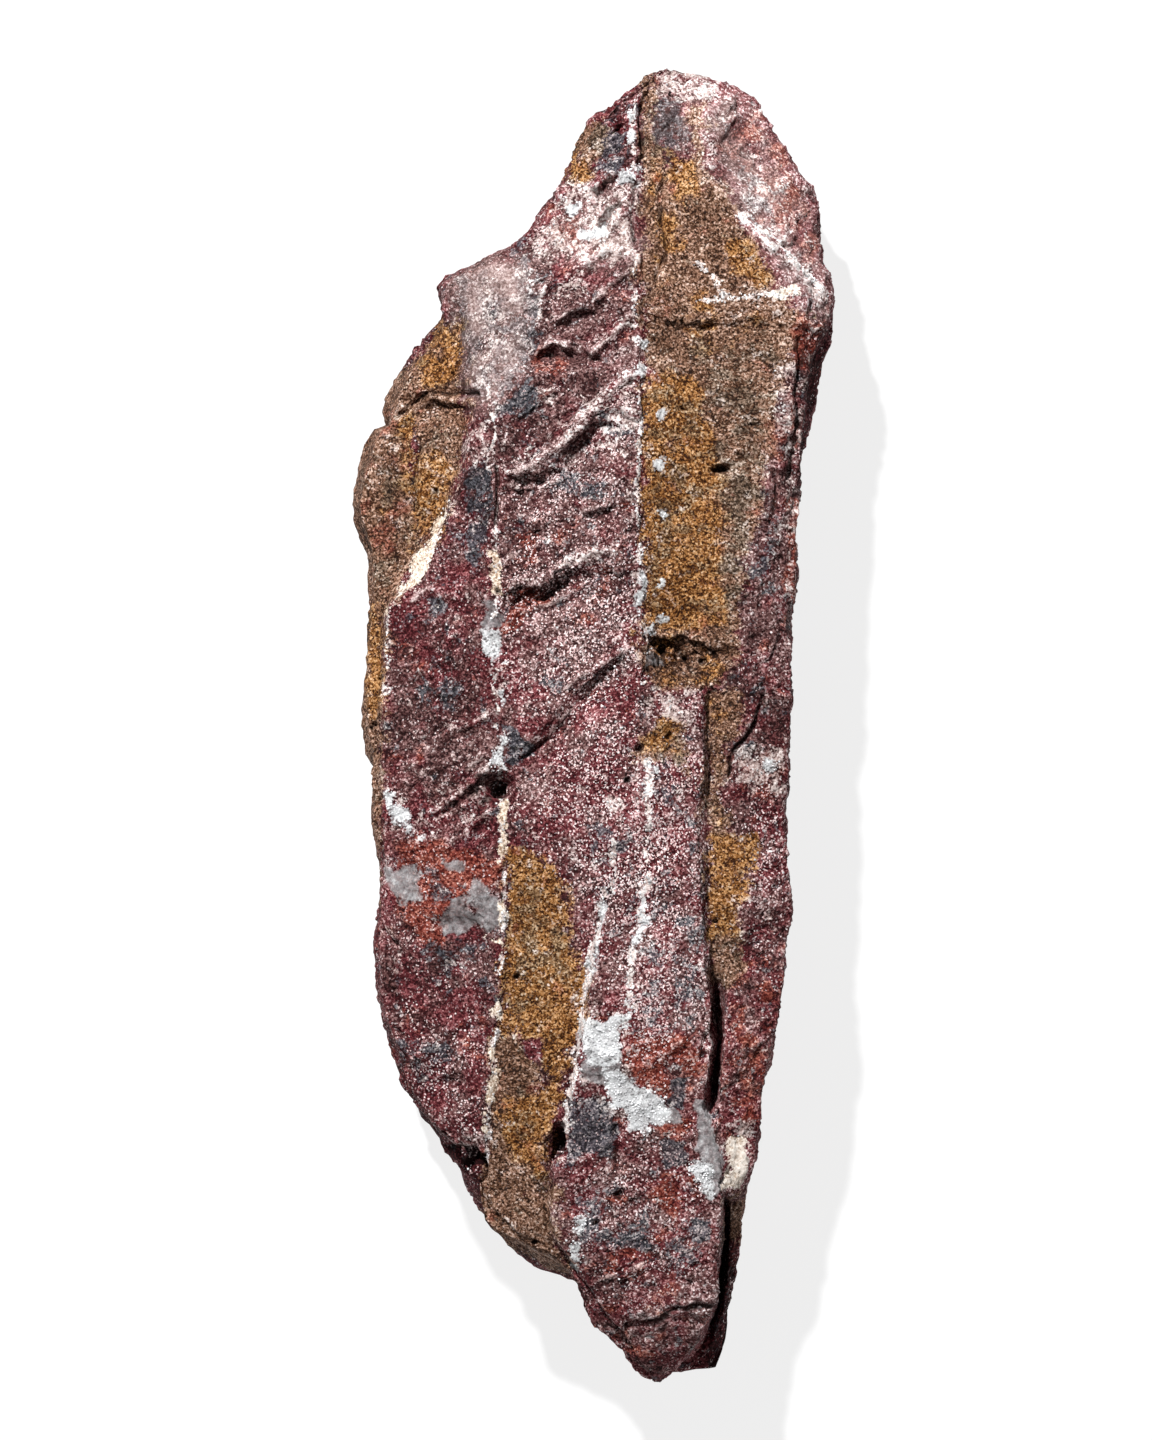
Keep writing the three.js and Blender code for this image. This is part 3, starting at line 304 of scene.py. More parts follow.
print(len(WHITES), "zones of white,", len(GREYS), "of grey and", len(RUSTS), "of rust mottling")

# %% Paler or darker zones, some of them painted shade, duller or dusty zones, and zones with more glints
# Paler or darker tone of the stone. The zones marked below are painted shade.
TONES_AND_PAINTED_SHADE = [
    # painted shade: the shaded cleft and wall right of the tongue's tip
    (-0.3, 0.8, [(17.2, -70), (19.6, -70), (20, -80), (18.4, -91), (15.6, -91), (16.8, -80)]),
    (-0.14, 0.8, [(-19, 33.6), (-16.8, 36.2), (-14.4, 35.4), (-14, 31), (-14.4, 25.4), (-18, 24.6)]),
    # painted shade: the hollow at the lower left, which HOLLOWS also carves
    (-0.26, 0.6, [(-20.4, -59.4), (-15.4, -59.7), (-15.1, -63), (-17.6, -62.8)]),
    (0.2, 0.8, [(18.2, -57.4), (21.8, -58), (21.4, -62), (20.4, -65.2), (18.4, -64.6)]),
    (0.17, 4, [(-7, 68), (-3, 76), (5, 77), (5, 66), (-2, 64)]),
    (0.26, 3, [(13, 92), (22, 91), (33, 76), (35, 60), (31, 56), (27, 60), (23, 67), (19, 73), (14, 80)]),
    (-0.01, 2.5, [(-20, 64), (-8, 66), (-6.6, 58), (-8.6, 51), (-12, 46), (-17, 45)]),
    (0.02, 3, [(7, 92), (16, 92), (16, 80), (8, 80)]),
    (-0.2, 1.3, [(17, 85), (20, 86.6), (22.6, 84), (21, 77), (17, 75.6)]),
    (0.08, 4, [(1, 34), (6.2, 34), (6.4, 64), (3, 62), (1, 48)]),
    (0.09, 5, [(-10, 16), (0, 21), (6, 22), (6.4, 3), (-1, 2), (-8, 8)]),
    (0.02, 5, [(-9, -10), (2, 2), (15, 3), (14, -26), (4, -40), (-2, -22)]),
    # painted shade: the slope above the large lip, which faces away from the light
    (-0.16, 2.5, [(-12, 44), (-8, 49), (-3, 50), (3, 49), (-3, 42), (-7, 38), (-12.6, 36.4)]),
    (-0.12, 1.5, [(-5.6, 59), (-1, 60), (-2, 63), (-5, 63)]),
    (-0.14, 0.8, [(-7, 52), (-5, 52.6), (-3, 52), (-4, 51), (-6.4, 50.8)]),
    (-0.12, 1.2, [(-12, 19), (-6, 20), (-3, 19.6), (-6, 16.8), (-12, 15.6)]),
    (-0.11, 6, [(-30, 14), (-15, 16), (-15, -14), (-30, -4)]),
    (0.11, 5, [(-13, 60), (2, 60), (6, 46), (4, 36), (-13, 38)]),
    (0.05, 5, [(-2, -56), (16, -56), (16, -78), (0, -78)]),
    (0.05, 4, [(8, 80), (16, 78), (26, 63), (26, 58), (8, 60)]),
    (-0.04, 5, [(-13, 20), (6, 24), (6, 2), (-10, -4)]),
    (-0.06, 4, [(7, 60), (26, 58), (24, 16), (7, 16)]),
    # painted shade: the hollow under the crust's ledge
    (-0.2, 2, [(7.6, 12.6), (12, 12.4), (18.6, 11), (18, 6), (8, 6)]),
    (-0.04, 3, [(-12, -18), (-4, -22), (-4, -60), (-13, -58)]),
    (0.14, 2, [(19, -38), (26, -38), (22, -64), (18, -64)]),
    (-0.08, 6, [(-30, -30), (-14, -32), (-16, -60), (-22, -60)]),
    # painted shade: under the overhanging ledge at the right
    (-0.1, 1.5, [(20, 5), (28, 5), (28, -1), (24, -2)]),
    # painted shade: the right side wall, which faces away from the light
    (-0.16, 0.8, [(28.6, 56), (34, 58), (32, 46), (30.4, 36), (28.8, 34), (28.8, 44)]),
    (-0.02, 2, [(20, -4), (27, -5), (27, -30), (22, -26)]),
    (0.12, 3, [(2, -78), (16, -76), (14, -90), (4, -90)]),
    (0.08, 3, [(20, 44), (27, 46), (27, 4), (19, 8)]),
    (-0.05, 2, [(-32, 46), (-19, 60), (-18, 44), (-20, 28), (-25, 22), (-30, 14), (-34, 24)]),
]
GLINTS = [
    (0.12, 4, [(-12, 36), (6, 40), (6, 12), (-12, 12)]),
    (0.2, 5, [(-9, -10), (2, 2), (15, 3), (15, -44), (6, -46), (-1, -24)]),
    (0.16, 4, [(-12, 6), (-4, 22), (6, 24), (6.4, 4), (-1, 1)]),
    (0.1, 4, [(-4, 30), (6, 34), (6, 48), (0, 42)]),
    (0.1, 4, [(-18, 62), (-9, 62), (-8, 48), (-16, 46)]),
    (0.12, 4, [(19, -8), (27, -8), (27, -30), (22, -30)]),
    (0.08, 4, [(-4, -56), (16, -56), (16, -80), (0, -80)]),
    (0.08, 3, [(-26, -40), (-16, -42), (-16, -60), (-22, -56)]),
]
DULLS = [
    (0.4, 4, [(-13, 34), (6, 48), (6, 14), (-1, 4), (-12, 12)]),
    (0.4, 3, [(22, 56), (30, 56), (29, 18), (27, 8), (19, 14)]),
    (0.5, 4, [(-13, 60), (5, 60), (5, 50), (-3, 42), (-12, 37)]),
    (0.4, 4, [(-30, 4), (-15, 6), (-16, -6), (-29, -6)]),
    (0.7, 3, [(-20, 64), (-8, 66), (-6, 58), (-9, 50), (-17, 45)]),
]
FILMS = [
    (0.55, 2.4, [(-20, 64), (-10, 65), (-9, 58), (-10.6, 50), (-13.4, 45), (-17, 45)]),
    (0.28, 2.5, [(20, 90), (24, 86), (34, 67), (34, 56), (28, 60), (20, 73), (15, 79), (16, 86)]),
    (0.3, 3, [(-8, 65), (-2, 73), (6, 74), (6, 64)]),
    (0.15, 2, [(7, 92), (16, 92), (16, 80), (8, 80)]),
]
print(len(TONES_AND_PAINTED_SHADE), "paler or darker zones and", len(GLINTS), "zones with more glints")
print(len(DULLS), "dull zones and", len(FILMS), "dusty films")

# %% [markdown]
# ## How the face is broken
#
# Some of the face broke rough, some of it in small steps, and some of the crust crumbles. Those are
# zones too. After them come single marks. The crest of a broken ledge has its strength, the width of
# its lit side and its line. A crack has half its width and a line, a hollow its depth, the softness
# of its edge and an outline, and a pit its radius and a place.

# %% Zones that are rugged, stepped or crumbly
RUGGED = [
    (0.22, 4, [(-14, 60), (-6, 64), (6, 66), (6, 14), (-12, 14)]),
    (0.2, 4, [(-29, 2), (-14, 6), (-14, -20), (-27, -18)]),
    (0.5, 4, [(-10, 64), (-2, 86), (6, 92), (6, 64)]),
    (0.45, 4, [(14, 92), (22, 91), (34, 66), (34, 54), (27, 58), (20, 74)]),
    (0.35, 3, [(7, 92), (16, 92), (16, 80), (8, 80)]),
    (0.3, 4, [(-29, 60), (-18, 60), (-18, 30), (-34, 20)]),
    (0.3, 4, [(19, 40), (30, 40), (28, 4), (19, 6)]),
]
STEPPED = [
    (0.6, 4, [(-13, 62), (6, 66), (6, 14), (-13, 14)]),
    (0.5, 3, [(-28, 14), (-15, 16), (-14, -18), (-27, -18)]),
    (0.45, 4, [(-8, 66), (-2, 84), (6, 90), (6, 66)]),
    (0.3, 4, [(-26, -30), (-14, -30), (-15, -60), (-22, -58)]),
    (0.35, 4, [(16, 90), (23, 88), (34, 66), (32, 54), (27, 60), (18, 76)]),
    (0.3, 4, [(0, -56), (15, -56), (14, -88), (4, -88)]),
    (0.35, 3, [(19, -2), (27, -2), (25, -50), (20, -50)]),
]
CRUMBLY = [
    (0.24, 1, [(6.8, 62), (9.6, 62), (9, 14), (6.8, 14)]),
    (0.9, 1.2, [(7, 13), (12, 13), (20, 9), (20, 5), (17, 4), (8, 4.6)]),
    (0.6, 0.8, [(8, 0.8), (11, 1), (12, -5), (7.4, -5)]),
    (0.75, 1.5, [(7, 60), (20, 58.6), (28, 59), (28, 54), (7, 55)]),
    (0.3, 3, [(12, 55), (26, 55), (22, 30), (14, 32)]),
    (0.35, 1.5, [(16, 4), (20, 4), (19, -10), (16, -14)]),
    (0.4, 3, [(-31, 4), (-29.4, 4), (-29, -24), (-32, -24)]),
]
print(len(RUGGED), "rugged zones,", len(STEPPED), "stepped and", len(CRUMBLY), "crumbly ones")

# %% Crests of the broken ledges, open cracks, hollows and pits
CRESTS = [
    (0.5, 0.8, [(-9.6, 50.6), (-8.4, 53.6), (-7.6, 57), (-6.8, 60), (-6.2, 63.6)]),
    (1.2, 1.7, [(-13.6, 34.6), (-11, 35.1), (-8.7, 35.5), (-6.8, 37.1), (-4.5, 39), (-2.7, 40.3),
                (-1.4, 42.4),
                (0.2, 44.2), (2.1, 46), (4, 47.8), (6.8, 49.8)]),
    (0.6, 0.9, [(-2.6, 40.2), (-0.6, 42.1), (1.7, 42.8), (4.4, 42.7)]),
    (0.6, 0.8, [(-12.8, 33.6), (-10, 33.1), (-7.4, 33.1), (-5.2, 33.9), (-3.6, 35.6)]),
    (0.6, 0.9, [(-6.6, 55.6), (-4.5, 57), (-2.5, 58.1), (-0.6, 58.6), (0.9, 60.6), (3.2, 62.6), (6, 63.6)]),
    (0.8, 1.3, [(-0.8, 51.2), (1.3, 52.8), (3.2, 54.4), (4.6, 55.6), (6.2, 57)]),
    (0.7, 0.9, [(-8.4, 51.4), (-7.2, 52.6), (-5.2, 53.4), (-2.9, 52.8), (-1.6, 51.6)]),
    (0.5, 1.3, [(-6, 60.4), (-3.6, 62.4), (-1, 65), (2, 66), (6, 65.6)]),
    (0.4, 0.8, [(-11.4, 28.6), (-9.8, 29), (-8, 28.6)]),
    (0.4, 0.8, [(-2, 29.6), (0.2, 30.3), (2.8, 31)]),
    (0.4, 1.2, [(-12.6, 22.6), (-10, 24), (-7, 25.2), (-4, 25.4)]),
    (0.9, 1.6, [(-12.6, 18.9), (-9, 19.7), (-7, 20.2), (-5, 21.6), (-3, 22.7), (-1, 23.4), (3.4, 23.8)]),
    (0.45, 1.1, [(-12.4, 15.6), (-9, 16), (-6, 17), (-3, 18.6), (1, 20.6)]),
    (0.5, 1.3, [(-4, 5), (-2, 6.8), (0, 7.9), (2, 8.9), (4, 10.4), (5.6, 12.2)]),
    (0.35, 1, [(1, 11.2), (3.4, 12), (6, 13.6)]),
    (0.5, 1.2, [(-20, -0.4), (-18, 0.2), (-16, 1), (-13.8, 2.4)]),
    (0.7, 1, [(-23.7, -12.8), (-21.6, -11.8), (-19.5, -10.2), (-17.4, -8.4), (-15.3, -6.3), (-13.7, -4.6)]),
    (0.35, 0.7, [(-24, -9.6), (-21.4, -8.8), (-18.6, -7), (-16, -4.6), (-14.6, -2.6)]),
    (0.35, 0.7, [(-23.4, -14.8), (-20.6, -12.8), (-17.6, -10.6), (-15, -8.2)]),
    (0.4, 0.8, [(-20.8, -17.2), (-18.3, -14.7), (-16.2, -13), (-14.1, -11.8)]),
    (0.35, 0.7, [(-17.4, -17), (-16.2, -15.9), (-14.5, -14.7), (-13.3, -13)]),
    (0.3, 0.7, [(-26.6, -5.6), (-23, -5.4), (-19.4, -4), (-16.4, -2)]),
    (0.5, 1.2, [(-12, -5), (-9, -2.4), (-6, -0.6), (-3, 1.6), (-0.6, 3.6)]),
    (0.4, 1, [(-26, 17), (-23.6, 18.8), (-21, 19.4)]),
    (0.3, 1, [(-24, -7), (-20, -5.4), (-17, -4)]),
    (0.3, 1, [(-27, 10), (-23, 11.6), (-19, 12.4)]),
    (0.7, 1.3, [(-0.6, 74.2), (1.4, 76), (3.6, 77.6)]),
    (0.6, 1.1, [(0.2, 70), (2.2, 71.8), (4.2, 73.4)]),
    (0.5, 1, [(-18, 62.3), (-16, 62.8), (-14, 63.8)]),
    (0.5, 1, [(0.6, 83.4), (3, 85), (5.2, 85.4)]),
    (0.35, 1, [(-2, 79), (1, 81), (4, 81.4)]),
    (0.4, 1.2, [(-3.4, -61), (0, -60), (3, -57.4)]),
    (0.35, 1, [(5, -48), (9, -46.4), (13, -43)]),
    (0.35, 1, [(-1, -78), (3, -77), (7, -75.4)]),
    (0.35, 1, [(19, -44), (22, -42), (25, -40)]),
    (0.4, 0.7, [(20.6, -0.6), (22.4, 2.4), (24.4, 4), (27.4, 4)]),
    (0.5, 1.2, [(-20.4, -58.6), (-18, -57.6), (-15.6, -57.6)]),
    (0.7, 1.2, [(14.2, 65), (16.2, 62.6), (18.4, 60.2)]),
    (0.45, 1.1, [(7, 58.2), (9, 57.4), (10.4, 56.2), (12, 57), (14.6, 56.5), (17, 57.5), (18.6, 56.4),
                 (22, 57.3),
                 (25, 58.6)]),
    (0.5, 0.8, [(16.4, 36), (18.4, 36.9), (20.6, 38.8)]),
    (0.45, 0.9, [(-21.6, -58.2), (-18.6, -58.9), (-16.4, -58.6), (-14.8, -59.4)]),
    (0.8, 1.2, [(7.4, 13.4), (9.6, 12.6), (12, 12.8), (15, 12), (17.6, 10.4)]),
    (0.4, 1, [(9, 8), (12, 7.4), (15, 7.8)]),
    (0.4, 1.1, [(17, 82), (19.6, 85), (22, 87)]),
    (0.5, 1.2, [(20.4, 71), (24, 68), (27, 65), (30, 62)]),
    (0.4, 1.2, [(28.6, 57), (31, 55.6), (33.6, 56.6)]),
    (0.5, 1, [(-28.8, 41.6), (-26.2, 43.4), (-24, 44.8), (-22, 45.6), (-20, 45), (-18, 45.4), (-16.4, 45)]),
]
CRACKS = [
    (0.4, [(16.2, 35.1), (17.8, 35.6)]),
    (0.6, [(-17.2, -60.3), (-15.6, -60.8), (-15.2, -62)]),
    (0.3, [(23.4, 3.6), (22.2, 1), (21.2, -1.6), (19.8, -4), (18.8, -7)]),
    (0.28, [(-28.8, 42.6), (-26.2, 44.4), (-24, 45.9), (-22, 46.7), (-20, 46.2), (-18, 46.6),
            (-16.4, 46.2)]),
    (0.34, [(4.6, -84.3), (9, -83.1), (12, -81.5), (16.2, -81)]),
    (0.34, [(7.2, 91), (6.9, 86), (7, 80)]),
    (0.26, [(5.7, 76), (5.4, 71), (5.5, 67)]),
    (0.16, [(9.8, 77), (9.6, 71), (9.8, 65.4), (8.8, 62)]),
    (0.16, [(-29.6, -28), (-27.8, -30), (-26.6, -32)]),
    (0.16, [(-28.6, -42.4), (-26, -44.6), (-24, -46.8)]),
    (0.2, [(28.4, 56), (28.7, 50), (28.5, 42), (27.6, 34)]),
    (0.32, [(25.5, 35), (25, 30), (24.6, 26.6)]),
    (0.14, [(2.6, -56), (2.8, -60), (2.6, -64)]),
    (0.2, [(14.6, -46), (15.2, -43)]),
    (0.22, [(-13.3, 28), (-13.5, 32), (-13.8, 36)]),
    (0.16, [(-13, -20), (-12.9, -24.6)]),
    (0.14, [(-24.6, 40), (-24.8, 34), (-25, 30)]),
    (0.6, [(0, 74.2), (1.4, 75.1), (2.6, 76.4)]),
    (0.55, [(0.8, 70.3), (1.8, 71.2), (3.2, 72.6)]),
]
HOLLOWS = [
    (2.2, 0.7, [(-20.4, -59.4), (-15.4, -59.7), (-15.1, -63), (-17.6, -62.8)]),
    (1.2, 0.5, [(-5.6, -55.4), (-4.6, -55.2), (-4.4, -59.6), (-5.6, -60.2)]),
]
PITS = [
    (1.3, (3.2, 84.4)),
    (1.2, (-13.1, -8.8)), (0.9, (6.8, -3.2)), (0.8, (3.4, -65.5)), (0.6, (0.4, -69.5)),
    (0.6, (-10.6, -35)), (0.5, (16.8, -27.6)), (1.0, (17.4, 35.4)), (0.6, (-13.4, 18.7)),
    (0.7, (4.6, -7.2)), (0.6, (-5.2, -57)), (0.5, (-8, -72.4)), (0.5, (-20, 49.4)), (0.4, (-22, 33)),
    (0.5, (12.6, 44)), (0.4, (16, 22.6)), (0.5, (-31, -0.6)), (0.5, (21.4, 40.6)),
    (0.5, (-29.7, 6.8)), (0.6, (-30.4, 0.2)), (0.4, (-30.2, -3.6)), (0.5, (-30.4, -11)),
    (0.4, (-29.6, -17)),
    (0.8, (9.4, 10.6)), (0.6, (12.4, 9)), (0.7, (15, 8.6)), (0.5, (11, 6.8)), (0.5, (17.4, 7)),
]
print(len(CRESTS), "crests,", len(CRACKS), "cracks,", len(HOLLOWS), "hollows and", len(PITS), "pits")

# %% [markdown]
# ## Measuring how far a point is from a seam or a patch
#
# Everything that follows asks one question: how far is this point from that line or outline? The
# functions below answer it for all points at once.

# %% Distances
def from_line(x, y, line):
    """Distance of every point from a line of places."""
    nearest = np.full(len(x), np.inf)
    for (ax, ay), (bx, by) in zip(line, line[1:]):
        dx = bx - ax
        dy = by - ay
        share = np.clip(((x - ax) * dx + (y - ay) * dy) / (dx * dx + dy * dy), 0, 1)
        nearest = np.minimum(nearest, np.hypot(x - ax - share * dx, y - ay - share * dy))
    return nearest


def beside_line(x, y, line):
    """Distance from a line, above 0 on its left, and how far along the line that is, from 0 to 1."""
    nearest = np.full(len(x), np.inf)
    side = np.zeros(len(x))
    share = np.zeros(len(x))
    lengths = [math.dist(a, b) for a, b in zip(line, line[1:])]
    done = 0
    for (ax, ay), (bx, by), length in zip(line, line[1:], lengths):
        dx = (bx - ax) / length
        dy = (by - ay) / length
        along = np.clip((x - ax) * dx + (y - ay) * dy, 0, length)
        away = np.hypot(x - ax - along * dx, y - ay - along * dy)
        left = dx * (y - ay) - dy * (x - ax)
        closer = away < nearest
        nearest = np.where(closer, away, nearest)
        side = np.where(closer, np.where(left > 0, away, -away), side)
        share = np.where(closer, (done + along) / sum(lengths), share)
        done += length
    return side, share


def inside(x, y, outline):
    """Distance of every point from a closed outline, positive inside it."""
    closed = outline + outline[:1]
    crossings = np.zeros(len(x), int)
    for (ax, ay), (bx, by) in zip(closed, closed[1:]):
        if ay == by:
            continue
        spans = (ay > y) != (by > y)
        crossings += spans & (x < ax + (y - ay) / (by - ay) * (bx - ax))
    return np.where(crossings % 2 == 1, 1, -1) * from_line(x, y, closed)


def inside_any(x, y, outlines):
    """The same for several outlines, positive inside any of them."""
    return np.max([inside(x, y, outline) for outline in outlines], axis=0)


def smoothstep(low, high, value):
    """0 up to low, 1 from high on, and smooth between. Low may also be the larger one."""
    t = np.clip((value - low) / (high - low), 0, 1)
    return t * t * (3 - 2 * t)


def amount(x, y, zones, base):
    """The base, raised inside each zone."""
    total = np.full(len(x), base)
    for extra, soft, outline in zones:
        total = np.maximum(total, base + extra * smoothstep(-soft, soft, inside(x, y, outline)))
    return total


side, share = beside_line(np.array([-3.0]), np.array([5.0]), [(0, 0), (0, 20)])
print("a point", side[0], "mm to the left of a line,", share[0], "of the way along it")

# %% Smooth noise, from a seeded table
TABLE_SIDE = 64
noise_table = np.random.default_rng(7).random((TABLE_SIDE,) * 3) * 2 - 1


def noise(points, spacing, shift=0.0):
    """Noise from -1 to 1 whose lumps are about a spacing apart. A shift picks another part of the table."""
    place = points / spacing + shift
    corner = np.floor(place).astype(int)
    t = place - corner
    t = t * t * (3 - 2 * t)
    total = np.zeros(len(points))
    for i in (0, 1):
        for j in (0, 1):
            for k in (0, 1):
                at = (corner + (i, j, k)) % TABLE_SIDE
                weight = np.ones(len(points))
                for axis, step in enumerate((i, j, k)):
                    weight = weight * (t[:, axis] if step else 1 - t[:, axis])
                total += weight * noise_table[at[:, 0], at[:, 1], at[:, 2]]
    return total


def rough(points, spacing, shift):
    """Noise in three sizes, each half the last and weaker."""
    total = np.zeros(len(points))
    for n in range(3):
        total += 0.6 ** n * noise(points, spacing / 2 ** n, shift + 7 * n)
    return total


def facets(points, spacing, shift):
    """Height of small flat faces, each tilted its own way, that meet at sharp edges and steps."""
    place = points / spacing + shift
    corner = np.floor(place).astype(int)
    nearest = np.full(len(points), np.inf)
    height = np.zeros(len(points))
    for i in (0, 1):
        for j in (0, 1):
            for k in (0, 1):
                cell = corner + (i, j, k)
                at = [cell[:, axis] % TABLE_SIDE for axis in range(3)]
                jitter = [0.45 * noise_table[at[n], at[n - 1], at[n - 2]] for n in range(3)]
                offset = place - cell - np.stack(jitter, axis=1)
                distance = (offset * offset).sum(axis=1)
                tilt = np.stack([noise_table[at[n - 1], at[n], at[n - 2]] for n in range(3)], axis=1)
                closer = distance < nearest
                nearest = np.where(closer, distance, nearest)
                height = np.where(closer, (tilt * offset).sum(axis=1), height)
    return height


print("noise from a table of", noise_table.size, "numbers")

# %% [markdown]
# ## A fine mesh from the solid model
#
# The solid model has under 10,000 triangles, about 2 mm across. A sculptor would subdivide it and
# carve the rest by hand. Here every triangle is split in four, three times, which gives a point
# every quarter of a millimetre. That is fine enough for real relief that casts real shadows, where a
# bump map alone looks painted on under a slanting light.
#
# The model's triangles are loose, so the copy is merged first. Its own mesh is left as it is.

# %% Copy the node's mesh and merge its loose triangles
def as_arrays(mesh):
    """Points in millimetres, and triangles, of a mesh that has only triangles."""
    points = np.empty(3 * len(mesh.vertices))
    mesh.vertices.foreach_get("co", points)
    corners = np.empty(len(mesh.loops), dtype=np.int32)
    mesh.loops.foreach_get("vertex_index", corners)
    return points.reshape(-1, 3) / MM, corners.reshape(-1, 3)


def merged(points, triangles):
    """The same triangles with points at one place made one point."""
    keys = np.round(points, 3)
    unique, inverse = np.unique(keys, axis=0, return_inverse=True)
    return unique, inverse.reshape(-1)[triangles]


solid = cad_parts["red_jasper"]
points, triangles = merged(*as_arrays(solid.data))
print(len(points), "points and", len(triangles), "triangles in the solid")

# %% Split every triangle in four
def split(points, triangles):
    """A new point in the middle of every edge, shared by the triangles on both sides of it."""
    edges = np.sort(triangles[:, [[0, 1], [1, 2], [2, 0]]].reshape(-1, 2), axis=1).astype(np.int64)
    keys = edges[:, 0] * len(points) + edges[:, 1]
    unique, inverse = np.unique(keys, return_inverse=True)
    ends = np.stack([unique // len(points), unique % len(points)], axis=1)
    middles = points[ends].mean(axis=1)
    ab, bc, ca = (inverse.reshape(-1, 3) + len(points)).T
    a, b, c = triangles.T
    parts = [(a, ab, ca), (ab, b, bc), (ca, bc, c), (ab, bc, ca)]
    return np.vstack([points, middles]), np.vstack([np.stack(part, axis=1) for part in parts])


def per_point(triangles, values, count):
    """Sums a vector of every triangle at its three corners."""
    corners = triangles.T.reshape(-1)
    repeated = np.tile(values, (3, 1))
    return np.stack([np.bincount(corners, repeated[:, axis], count) for axis in range(3)], axis=1)


def face_normals(points, triangles):
    """The direction that each triangle faces, as long as twice its area."""
    a, b, c = (points[triangles[:, i]] for i in range(3))
    return np.cross(b - a, c - a)


def unit(vectors):
    """The same directions, each one unit long."""
    return vectors / np.maximum(np.linalg.norm(vectors, axis=1, keepdims=True), 1e-12)


print(len(split(np.eye(3), np.array([[0, 1, 2]]))[1]), "triangles from one")

# %% Round the facets and keep the edges
ROUNDING = 0.6
KEEP_EDGE = 0.93


def rounded(points, triangles):
    """Moves points towards their neighbours' middle, apart from those on a sharp edge."""
    normals = unit(face_normals(points, triangles))
    mean = per_point(triangles, normals, len(points))
    faces = np.bincount(triangles.reshape(-1), minlength=len(points))[:, None]
    agreement = np.linalg.norm(mean / faces, axis=1)
    centres = points[triangles].mean(axis=1)
    middle = per_point(triangles, centres, len(points)) / faces
    share = ROUNDING * smoothstep(KEEP_EDGE, 1, agreement)[:, None]
    return points + share * (middle - points)


SPLITS = 3
for _ in range(SPLITS):
    points, triangles = split(points, triangles)
    points = rounded(points, triangles)
print(len(points), "points and", len(triangles), "triangles after", SPLITS, "splits")

# %% [markdown]
# ## Broken relief
#
# A blow split this stone, and the split ran in steps. Each ledge rises to a lip and drops off to the
# lower right, so a slanting light makes a bright line with a dark one under it. The larger lips are
# in the solid model. Here each gets a sharper edge than 2 mm triangles can hold.
#
# Between the lips the face is small flat breaks, each tilted its own way, and small steps that drop
# off as the large ones do, which is how a packed mass of quartz grains parts. The crust is different:
# it grew on the surface, so it is lumpy and pitted, and crumbly in places.

# %% Which part of the stone each point is on
FACE_TOP = 24.0
FACE_DEPTH = 8.0
LEAN_TOP = 16
SPLIT_TURN = math.radians(40)
SPLIT_STRETCH = 0.5
STEP_DROP = 0.16


def near_face(points):
    """1 on the face and 0 well below it: places are drawn on the face, so the back doesn't get them."""
    return smoothstep(FACE_TOP - FACE_DEPTH, FACE_TOP, points[:, 2])


def warped(points):
    """Places pushed about a little, and more below the face, so that no outline stays straight."""
    drop = np.clip(LEAN_TOP - points[:, 2], 0, None)
    x = points[:, 0] + 0.5 * rough(points, 3.5, 11) + 0.25 * drop * noise(points, 12, 173)
    y = points[:, 1] + 0.5 * rough(points, 3.5, 23) + 0.5 * drop * noise(points, 12, 171)
    return x, y


def slanted(points):
    """Places shrunk along the split's direction, so that what is made from them runs along it."""
    along = points[:, 0] * math.cos(SPLIT_TURN) + points[:, 1] * math.sin(SPLIT_TURN)
    across = points[:, 1] * math.cos(SPLIT_TURN) - points[:, 0] * math.sin(SPLIT_TURN)
    return np.stack([along * SPLIT_STRETCH, across, points[:, 2]], axis=1)


def steps(points, spacing, shift):
    """Small ledges from 0 to 1 along the split. Each rises slowly and drops off to the lower right."""
    turned = slanted(points)
    place = turned[:, 1] / spacing + 1.1 * noise(turned, 4.5, shift)
    place += 0.3 * rough(points, 2.4, shift + 5)
    share = place - np.floor(place)
    return np.minimum(1 - share, share / STEP_DROP)


print("the split runs up to the right at", round(math.degrees(SPLIT_TURN)), "degrees")

# %% The shape of a lip, across its line
FALL = 0.8
FOOT = 2.6
# Half the width of the pale line painted along each crest as a highlight
CREST_HIGHLIGHT_HALF_WIDTH = 0.36


def lip(x, y, line, width):
    """A ridge along a line: a shallow valley, a rise to 1 on the left, a steep fall and a long foot."""
    side, share = beside_line(x, y, line)
    rise = smoothstep(width, 0, side)
    left = rise - 0.35 * (1 - rise) * smoothstep(3 * width, width, side)
    fall = 1 - 1.6 * smoothstep(0, -FALL, side)
    right = np.where(side > -FALL, fall, -0.6 * smoothstep(-FALL - FOOT, -FALL, side))
    fade = smoothstep(0, 0.12, share) * smoothstep(0, 0.12, 1 - share)
    return fade * np.where(side > 0, left, right)


